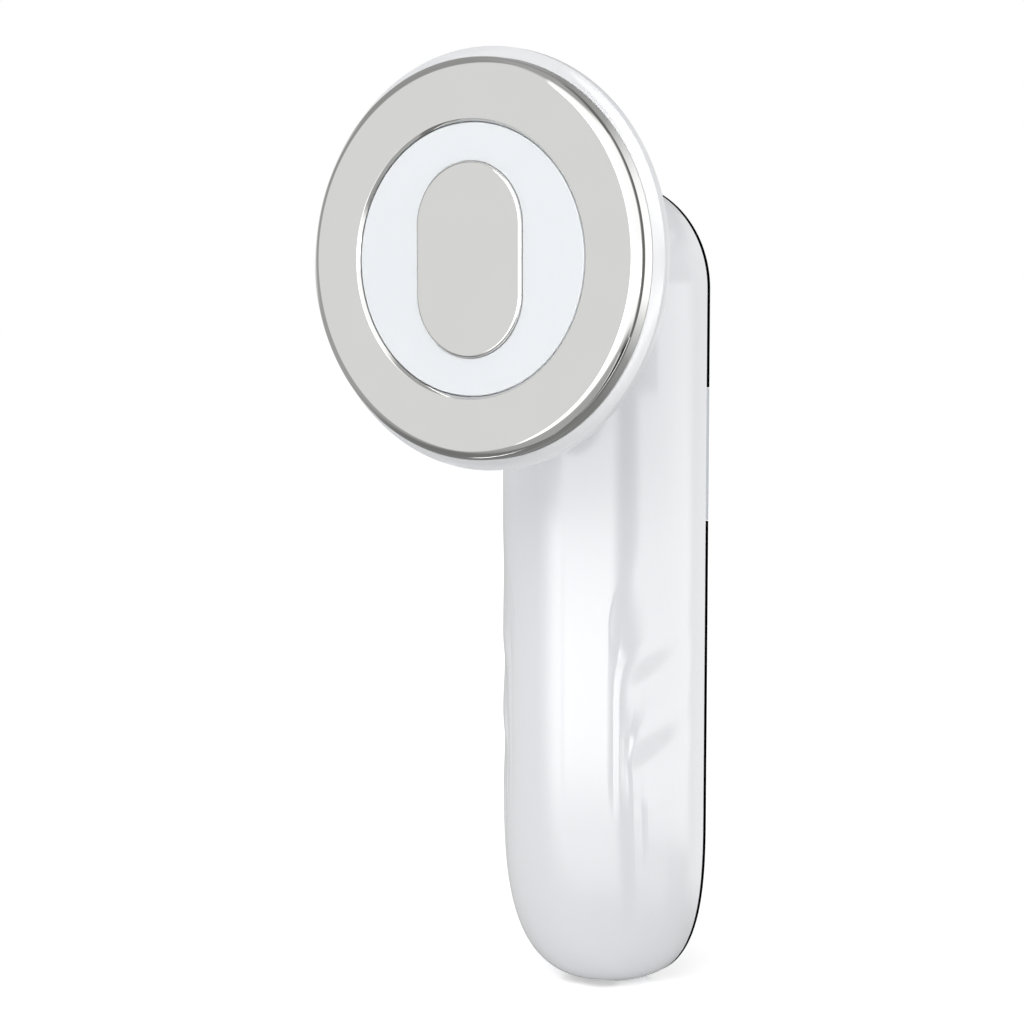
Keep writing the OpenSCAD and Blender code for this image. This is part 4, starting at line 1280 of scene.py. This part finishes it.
@dataclass
class Back:
    """Flat back: two black panels, the satin plate between them and its two keys."""

    grip: Grip
    panel_edge: float = 0.05
    control: Point2 = (82.1, 104.7)
    gap: float = 0.15
    key_r: float = 3.9
    key_gap: float = 0.15
    key_face: float = 0.3
    key_edge: float = 0.35
    key_shoulder: float = 2.2
    key_flange: float = 3.0
    key_flange_r: float = 4.8
    key_hollow_r: float = 16.0
    key_hollow: float = 0.3
    key_z: Point2 = (98.7, 88.1)
    key_middle_r: float = 0.02
    key_rows: int = 24
    key_sides: int = 128
    hole_sides: int = 96
    face_tilt: float = 0.98

    def build(self) -> None:
        """Builds and dresses the panels, the plate and the keys."""
        back, low, high = self.grip.back_y, *self.control
        last = 360 - 360 / self.hole_sides
        hole = arc((0, 0), self.key_r + self.key_gap, 0, last, steps=self.hole_sides - 1)
        holes = [[(x, z + y) for x, y in hole] for z in self.key_z]
        for name, node, span, cuts, slot in (
            ("upper_black_panel", "upper_panel", (high + self.gap, math.inf), [], "gloss_black"),
            ("lower_black_panel", "lower_panel", (-math.inf, low - self.gap), [], "gloss_black"),
            ("satin_control_plate", "control_plate", (low, high), holes, "control_silver"),
        ):
            line = self.grip.outline(*span)
            piece = plate(name, line, cuts, back - self.grip.seam, back, self.panel_edge)
            place_piece(piece, Body.DEVICE, slot, FINISHES[slot], node)
            edge = BlackInk() if slot == "gloss_black" else MilledEdge()
            piece.data.materials.append(edge.material())
            for face in piece.data.polygons:
                face.material_index = int(abs(face.normal.y) < self.face_tilt)
        for body, z in zip((Body.POWER_KEY, Body.LEVEL_KEY), self.key_z):
            finish = TurnedSteel(name=f"Turned_Polished_Steel_{body.value}", height=z)
            place_piece(self.key(body.value + "_cap", z), body, "key_metal", finish, body.value)

    def key(self, name: str, z: float) -> bpy.types.Object:
        """A round key with a hollow for the fingertip and a flange behind it.

        Args:
            name: name of the piece.
            z: height of its middle.

        Returns:
            The new object.
        """
        edge, face = self.key_edge, self.key_face
        hollow_r = math.sqrt(self.key_hollow_r**2 - (self.key_hollow_r - self.key_hollow) ** 2)
        profile = [
            (float(r), face + self.key_hollow - (self.key_hollow_r - math.sqrt(self.key_hollow_r**2 - r * r)))
            for r in np.linspace(self.key_middle_r, hollow_r, self.key_rows)
        ]
        profile += [(self.key_r - r, face + d) for r, d in arc((edge, edge), edge, 270, 180, steps=8)]
        profile += [
            (self.key_r, self.key_shoulder),
            (self.key_flange_r, self.key_shoulder),
            (self.key_flange_r, self.key_flange),
        ]
        a = np.linspace(0, 2 * math.pi, self.key_sides, endpoint=False)
        loops = [
            np.stack([r * np.cos(a), np.full_like(a, self.grip.back_y - d), z + r * np.sin(a)], axis=1)
            for r, d in profile
        ]
        return loft(name, loops, Ends.CAPPED, flat_axis=None)


# ------------------------------------------------------------- inner pieces


@dataclass
class Inside:
    """The pieces inside, which keep their CAD shape and get their finishes."""

    slots: dict[str, str] = field(
        default_factory=lambda: {
            "ring_gasket": "rubber_dark",
            "centre_gasket": "rubber_dark",
            "bezel_seal": "rubber_dark",
            "electrode_carrier": "inner_grey",
            "led_board": "board_green",
            "leds": "led_white",
            "contact_pins": "steel",
            "carrier_screws": "steel",
            "stem_seal": "rubber_dark",
            "stem_nut": "inner_grey",
            "motor_can": "steel",
            "motor_saddle": "rubber_dark",
            "eccentric_weight": "steel",
            "rear_frame": "inner_grey",
            "frame_seal": "rubber_dark",
            "frame_screws": "steel",
            "key_switches": "steel",
            "display_module": "led_white",
            "display_flex": "copper",
            "main_board": "board_green",
            "board_chips": "black_plastic",
            "boost_coil": "copper",
            "buzzer": "black_plastic",
            "battery_cell": "cell_foil",
            "battery_guard": "board_green",
            "battery_tray": "inner_grey",
            "tray_screws": "steel",
            "charge_socket": "steel",
            "socket_tongue": "black_plastic",
            "socket_seal": "rubber_dark",
            "electrode_leads": "lead_red",
            "light_leads": "lead_yellow",
            "motor_leads": "lead_blue",
            "battery_leads": "lead_red",
        }
    )

    def dress(self, nodes: dict[str, bpy.types.Object]) -> None:
        """Puts the finishes on the CAD nodes.

        Args:
            nodes: the frame's nodes by name.
        """
        for name, slot in self.slots.items():
            node = nodes[name]
            material = FINISHES[slot].material()
            if not node.material_slots:
                node.data.materials.append(material)
            for place in node.material_slots:
                place.material = material
        LOG.info("dressed %d inner pieces", len(self.slots))


# ------------------------------------------------------------------- studio


@dataclass(frozen=True)
class Card:
    """A light or dark card of the studio, seen only in reflections.

    Azimuths run from the front (-Y) towards +X, elevations up from the horizon,
    both in degrees. A radiance of 1 is white.
    """

    azimuths: Point2
    elevations: Point2
    softness: Point2
    radiance: float

    def cover(
        self, tree: bpy.types.NodeTree, azimuth: bpy.types.NodeSocket, elevation: bpy.types.NodeSocket
    ) -> float | bpy.types.NodeSocket:
        """How far the card covers a direction.

        Args:
            tree: the world's tree.
            azimuth: the direction's azimuth in degrees.
            elevation: its elevation in degrees.

        Returns:
            A value of 1 inside the card and 0 outside, with a soft step between them.
        """
        share: float | bpy.types.NodeSocket = 1.0
        for angle, (low, high), soft in (
            (azimuth, self.azimuths, self.softness[0]),
            (elevation, self.elevations, self.softness[1]),
        ):
            for edge, half in ((low, soft / 2), (high, -soft / 2)):
                limits = {"Value": angle, "From Min": edge - half, "From Max": edge + half}
                step = add_node(tree, "ShaderNodeMapRange", limits, interpolation_type="SMOOTHSTEP")
                both = add_node(tree, "ShaderNodeMath", {0: step.outputs[0], 1: share}, operation="MULTIPLY")
                share = both.outputs[0]
        return share


@dataclass(frozen=True)
class Sheet:
    """A glowing sheet close to the object, seen only in reflections and from one side.

    Rows of points run from the top down as seen from the side that shines.
    """

    name: str
    rows: tuple[tuple[Point3, ...], ...]
    glow: tuple[tuple[float, ...], ...]

    def build(self) -> None:
        """Builds the sheet; a radiance of 1 is white."""
        points = [Vector(point) * MM for row in self.rows for point in row]
        wide = len(self.rows[0])
        faces = [
            (wide * i + j, wide * i + j + 1, wide * (i + 1) + j + 1, wide * (i + 1) + j)
            for i in range(len(self.rows) - 1)
            for j in range(wide - 1)
        ]
        mesh = bpy.data.meshes.new(self.name)
        mesh.from_pydata(points, [], faces)
        mesh.attributes.new("glow", "FLOAT", "POINT").data.foreach_set("value", [v for row in self.glow for v in row])
        piece = add_object(self.name, mesh)
        for ray in ("camera", "diffuse", "transmission", "volume_scatter", "shadow"):
            setattr(piece, f"visible_{ray}", False)
        material = blank_material("Cloth_of_" + self.name)
        tree = material.node_tree
        tone = add_node(tree, "ShaderNodeAttribute", attribute_name="glow")
        cloth = add_node(tree, "ShaderNodeEmission", {"Color": WHITE, "Strength": tone.outputs["Fac"]})
        clear = add_node(tree, "ShaderNodeBsdfTransparent")
        side = add_node(tree, "ShaderNodeNewGeometry").outputs["Backfacing"]
        pick = add_node(tree, "ShaderNodeMixShader", {0: side, 1: cloth.outputs[0], 2: clear.outputs[0]})
        add_node(tree, "ShaderNodeOutputMaterial", {"Surface": pick.outputs[0]})
        material.cycles.emission_sampling = "NONE"
        mesh.materials.append(material)


def upright(name: str, line: Sequence[Point2], rows: dict[float, tuple[float, ...]]) -> Sheet:
    """A sheet that stands upright on one line.

    Args:
        name: its name.
        line: the line's points in X and Y.
        rows: height of each row, from the top down, to the radiance at the line's points.

    Returns:
        The sheet.
    """
    return Sheet(name, tuple(tuple((x, y, z) for x, y in line) for z in rows), tuple(rows.values()))


def flag() -> Sheet:
    """A dark flag to the right of the head: it draws the thin line in the ring's rounded edge.

    Returns:
        The flag.
    """
    x, glow = 45.0, (1.1, 0.2, 0.2, 1.2)
    rows = (
        (176.0, -19.0, -8.0, 12.0, 50.0),
        (164.0, -20.5, -12.0, 6.0, 45.0),
        (141.0, -21.8, -18.0, -12.5, 10.0),
        (126.0, -22.4, -20.2, -14.4, -2.0),
        (111.5, -22.4, -18.0, -11.5, 6.0),
        (103.0, -22.0, -17.0, -11.0, 6.0),
    )
    return Sheet("studio_flag", tuple(tuple((x, y, row[0]) for y in row[1:]) for row in rows), (glow,) * len(rows))


def strip() -> Sheet:
    """A narrow strip light close to the grip: it carries the broad highlight round to the left.

    Returns:
        The strip.
    """
    line = ((-21.8, -12.8), (-17.4, -15.8), (-12.5, -18.3), (-7.4, -20.0))
    rows = {
        92.0: (0.5, 0.5, 0.6, 1.5),
        84.0: (0.5, 0.9, 2.2, 4.5),
        77.0: (0.55, 1.9, 5.0, 6.3),
        45.0: (0.55, 1.9, 4.8, 6.0),
        33.0: (0.5, 1.6, 4.0, 5.0),
        23.0: (0.5, 1.1, 2.4, 3.0),
        13.0: (0.5, 0.7, 1.4, 1.8),
        0.0: (0.45, 0.5, 0.6, 0.6),
        -26.0: (0.4, 0.5, 0.55, 0.55),
    }
    return upright("studio_strip", line, rows)


def fin() -> Sheet:
    """A dark fin to the right of the grip: it parts the broad highlight from the pale side.

    Returns:
        The fin.
    """
    line = ((35.5, -26.5), (38.0, -24.0), (43.5, -18.5), (46.8, -15.2), (50.3, -11.7))
    rows = {
        104.0: (1.5, 0.05, 0.05, 0.9, 3.0),
        60.0: (1.5, 0.05, 0.05, 0.9, 3.0),
        20.0: (1.0, 0.05, 0.05, 0.9, 2.4),
        -30.0: (0.5, 0.2, 0.2, 0.4, 0.5),
    }
    return upright("studio_fin", line, rows)


def halo() -> Sheet:
    """A thin glowing sheet between ring and trim, seen only in reflections: the polished ring mirrors it and not the
    white trim, so its radiance, set per clock angle, paints the light and dark bands of the ring's reflection.

    Returns:
        The sheet.
    """
    y, columns = -19.15, 126
    # Clock angle from +X in degrees, outer radius and radiance
    stops = (
        (-130, 46, 0.27), (-50, 46, 0.27), (-45, 34.3, 0.27), (-30, 34.3, 0.42), (-18, 34.3, 1.0),
        (-10, 34.3, 1.6), (0, 34.3, 1.6), (12, 34.3, 1.55), (22, 34.3, 1.4), (32, 34.3, 0.95),
        (42, 34.3, 0.5), (60, 34.3, 0.35), (75, 34.3, 0.45), (90, 34.3, 0.57), (120, 34.3, 0.8),
    )
    clock, outer, glow = (np.array(line, dtype=float) for line in zip(*stops))
    turn = np.linspace(clock[0], clock[-1], columns)
    tone = tuple(float(v) for v in np.interp(turn, clock, glow))
    rows = []
    for reach in (np.interp(turn, clock, outer), np.full_like(turn, Head.bezel_in_r)):
        across, up = reach * np.cos(np.radians(turn)), reach * np.sin(np.radians(turn))
        rows.append(tuple((float(x), y, Head.axis_z + float(z)) for x, z in zip(across, up)))
    return Sheet("studio_halo", tuple(rows), (tone, tone))


@dataclass(frozen=True)
class Lamp:
    """A soft square lamp that looks at the grip's middle.

    Angles are in degrees, from the front towards +X and above the horizon. The
    power is in watts, the lengths are in metres.
    """

    name: str
    azimuth: float
    elevation: float
    power: float
    size: float = 0.9
    distance: float = 1.3
    aim_height: float = 0.09

    def build(self) -> None:
        """Builds the lamp."""
        light = bpy.data.lights.new(self.name, "AREA")
        light.energy = self.power
        light.size = self.size
        holder = add_object(self.name, light)
        away = direction(self.azimuth, self.elevation)
        holder.location = Vector((0, 0, self.aim_height)) + away * self.distance
        holder.rotation_euler = away.to_track_quat("Z", "Y").to_euler()
        holder.visible_glossy = False


@dataclass(frozen=True)
class Camera:
    """The camera: three quarters from the right, just above the middle.

    It looks past the middle of the electrode face by an offset to the right and up.
    Angles are in degrees, lengths in millimetres.
    """

    azimuth: float = 34.01
    elevation: float = 5.31
    distance: float = 356.5
    offset: Point2 = (7.09, -39.82)
    lens: float = 79.4
    sensor: float = 36.0
    nearest: float = 10.0

    def build(self) -> None:
        """Builds the camera and makes it the scene's own."""
        data = bpy.data.cameras.new("camera")
        data.lens = self.lens
        data.sensor_width = self.sensor
        data.clip_start = self.nearest * MM
        holder = add_object("camera", data)
        away, a = direction(self.azimuth, self.elevation), math.radians(self.azimuth)
        right = Vector((math.cos(a), math.sin(a), 0.0))
        up = away.cross(right)
        aim = Vector((0, Head.face_y, Head.axis_z)) + right * self.offset[0] + up * self.offset[1]
        axes = Matrix((right, up, away)).transposed().to_4x4()
        holder.matrix_world = Matrix.Translation((aim + away * self.distance) * MM) @ axes
        bpy.context.scene.camera = holder


@dataclass
class Studio:
    """Pale floor, white surroundings, soft lamps, cards and sheets for the reflections, and the camera."""

    floor_size: float = 12.0
    floor_tone: float = 0.95
    floor_glow: float = 0.45
    camera: Camera = Camera()
    lamps: tuple[Lamp, ...] = (
        Lamp("key_lamp", 20.0, 38.0, 4.4),
        Lamp("side_lamp", 105.0, 20.0, 1.8),
        Lamp("left_lamp", -55.0, 12.0, 2.3),
    )
    sheets: tuple[Sheet, ...] = (flag(), strip(), fin(), halo())
    ambient: float = 0.6
    cards: tuple[Card, ...] = (
        Card((-200, -41), (-91, 10), (4, 12), 0.5),
        Card((-200, -44), (6, 91), (6, 10), 0.42),
        Card((-142, -80), (-1, 20), (30, 12), 1.45),
        Card((-200, -143), (-91, 91), (16, 4), 0.34),
        Card((-200, 200), (-91, -25), (1, 18), 0.25),
        Card((-40, 66), (-91, -24), (20, 18), 0.54),
        Card((-200, 200), (62, 91), (1, 20), 0.52),
        Card((104, 200), (33, 72), (24, 12), 0.2),
        Card((128, 170), (-22, 27), (8, 12), 1.5),
        Card((-14, 96), (-30, 66), (5, 16), 1.5),
        Card((-16, 34), (4, 42), (3, 20), 6.5),
        Card((-23, 34), (-26.5, 3), (8, 13), 2.7),
        Card((-24, 34), (-14.5, -4.5), (8, 7), 6.3),
        Card((-29, -20), (-24, -7), (3, 5), 3.0),
        Card((56, 128), (-14.5, 6), (26, 5), 3.0),
        Card((56, 128), (-14.5, -4), (26, 5), 3.9),
        Card((100, 130), (-12.5, -3), (12, 9), 4.0),
        Card((130, 170), (-20, -4), (12, 8), 1.9),
    )

    def world(self) -> None:
        """White to the camera, plain soft light on the object, the studio's cards in reflections."""
        world = bpy.data.worlds.new("studio")
        bpy.context.scene.world = world
        world.use_nodes = True
        world.cycles.sampling_method = "NONE"
        tree = world.node_tree
        tree.nodes.clear()
        place = add_node(tree, "ShaderNodeTexCoord").outputs["Generated"]
        axes = add_node(tree, "ShaderNodeSeparateXYZ", {0: place})
        back = add_node(tree, "ShaderNodeMath", {0: axes.outputs["Y"], 1: -1.0}, operation="MULTIPLY")
        turn = add_node(tree, "ShaderNodeMath", {0: axes.outputs["X"], 1: back.outputs[0]}, operation="ARCTAN2")
        azimuth = add_node(tree, "ShaderNodeMath", {0: turn.outputs[0]}, operation="DEGREES")
        rise = add_node(tree, "ShaderNodeMath", {0: axes.outputs["Z"]}, operation="ARCSINE")
        elevation = add_node(tree, "ShaderNodeMath", {0: rise.outputs[0]}, operation="DEGREES")
        light: float | bpy.types.NodeSocket = 1.0
        for card in self.cards:
            cover = card.cover(tree, azimuth.outputs[0], elevation.outputs[0])
            mix = add_node(tree, "ShaderNodeMix", {0: cover, 2: light, 3: card.radiance}, data_type="FLOAT")
            light = mix.outputs[0]
        path = add_node(tree, "ShaderNodeLightPath")
        shiny = add_node(tree, "ShaderNodeMix", {0: path.outputs["Is Glossy Ray"], 2: self.ambient, 3: light})
        seen = add_node(
            tree,
            "ShaderNodeMath",
            {0: path.outputs["Is Camera Ray"], 1: path.outputs["Is Transmission Ray"]},
            operation="MAXIMUM",
        )
        strength = add_node(tree, "ShaderNodeMix", {0: seen.outputs[0], 2: shiny.outputs[0], 3: 1.0})
        sky = add_node(tree, "ShaderNodeBackground", {"Color": WHITE, "Strength": strength.outputs[0]})
        add_node(tree, "ShaderNodeOutputWorld", {"Surface": sky.outputs[0]})

    def floor(self) -> None:
        """A pale floor that turns white away from the object's shadow."""
        half = self.floor_size / 2
        mesh = bpy.data.meshes.new("studio_floor")
        mesh.from_pydata([(-half, -half, 0), (half, -half, 0), (half, half, 0), (-half, half, 0)], [], [(0, 1, 2, 3)])
        piece = add_object("studio_floor", mesh)
        piece.visible_glossy = False
        material = blank_material("Pale_Studio_Floor")
        tree = material.node_tree
        paint = add_node(tree, "ShaderNodeBsdfDiffuse", {"Color": (*[self.floor_tone] * 3, 1.0)})
        glow = add_node(tree, "ShaderNodeEmission", {"Color": WHITE, "Strength": self.floor_glow})
        both = add_node(tree, "ShaderNodeAddShader", {0: paint.outputs[0], 1: glow.outputs[0]})
        path = add_node(tree, "ShaderNodeLightPath")
        choice = {0: path.outputs["Is Camera Ray"], 1: paint.outputs[0], 2: both.outputs[0]}
        pick = add_node(tree, "ShaderNodeMixShader", choice)
        add_node(tree, "ShaderNodeOutputMaterial", {"Surface": pick.outputs[0]})
        mesh.materials.append(material)

    def build(self) -> None:
        """Sets up the studio."""
        self.camera.build()
        self.world()
        self.floor()
        for fitting in (*self.sheets, *self.lamps):
            fitting.build()
        bpy.context.scene.view_settings.view_transform = "Standard"


def main() -> None:
    """Builds the classes in order."""
    logging.basicConfig(level=logging.INFO, format="%(name)s: %(message)s")
    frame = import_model()
    Studio().build()
    Head().build()
    grip = Grip()
    grip.build()
    Back(grip).build()
    Inside().dress(frame["nodes"])


if __name__ == "__main__":
    main()
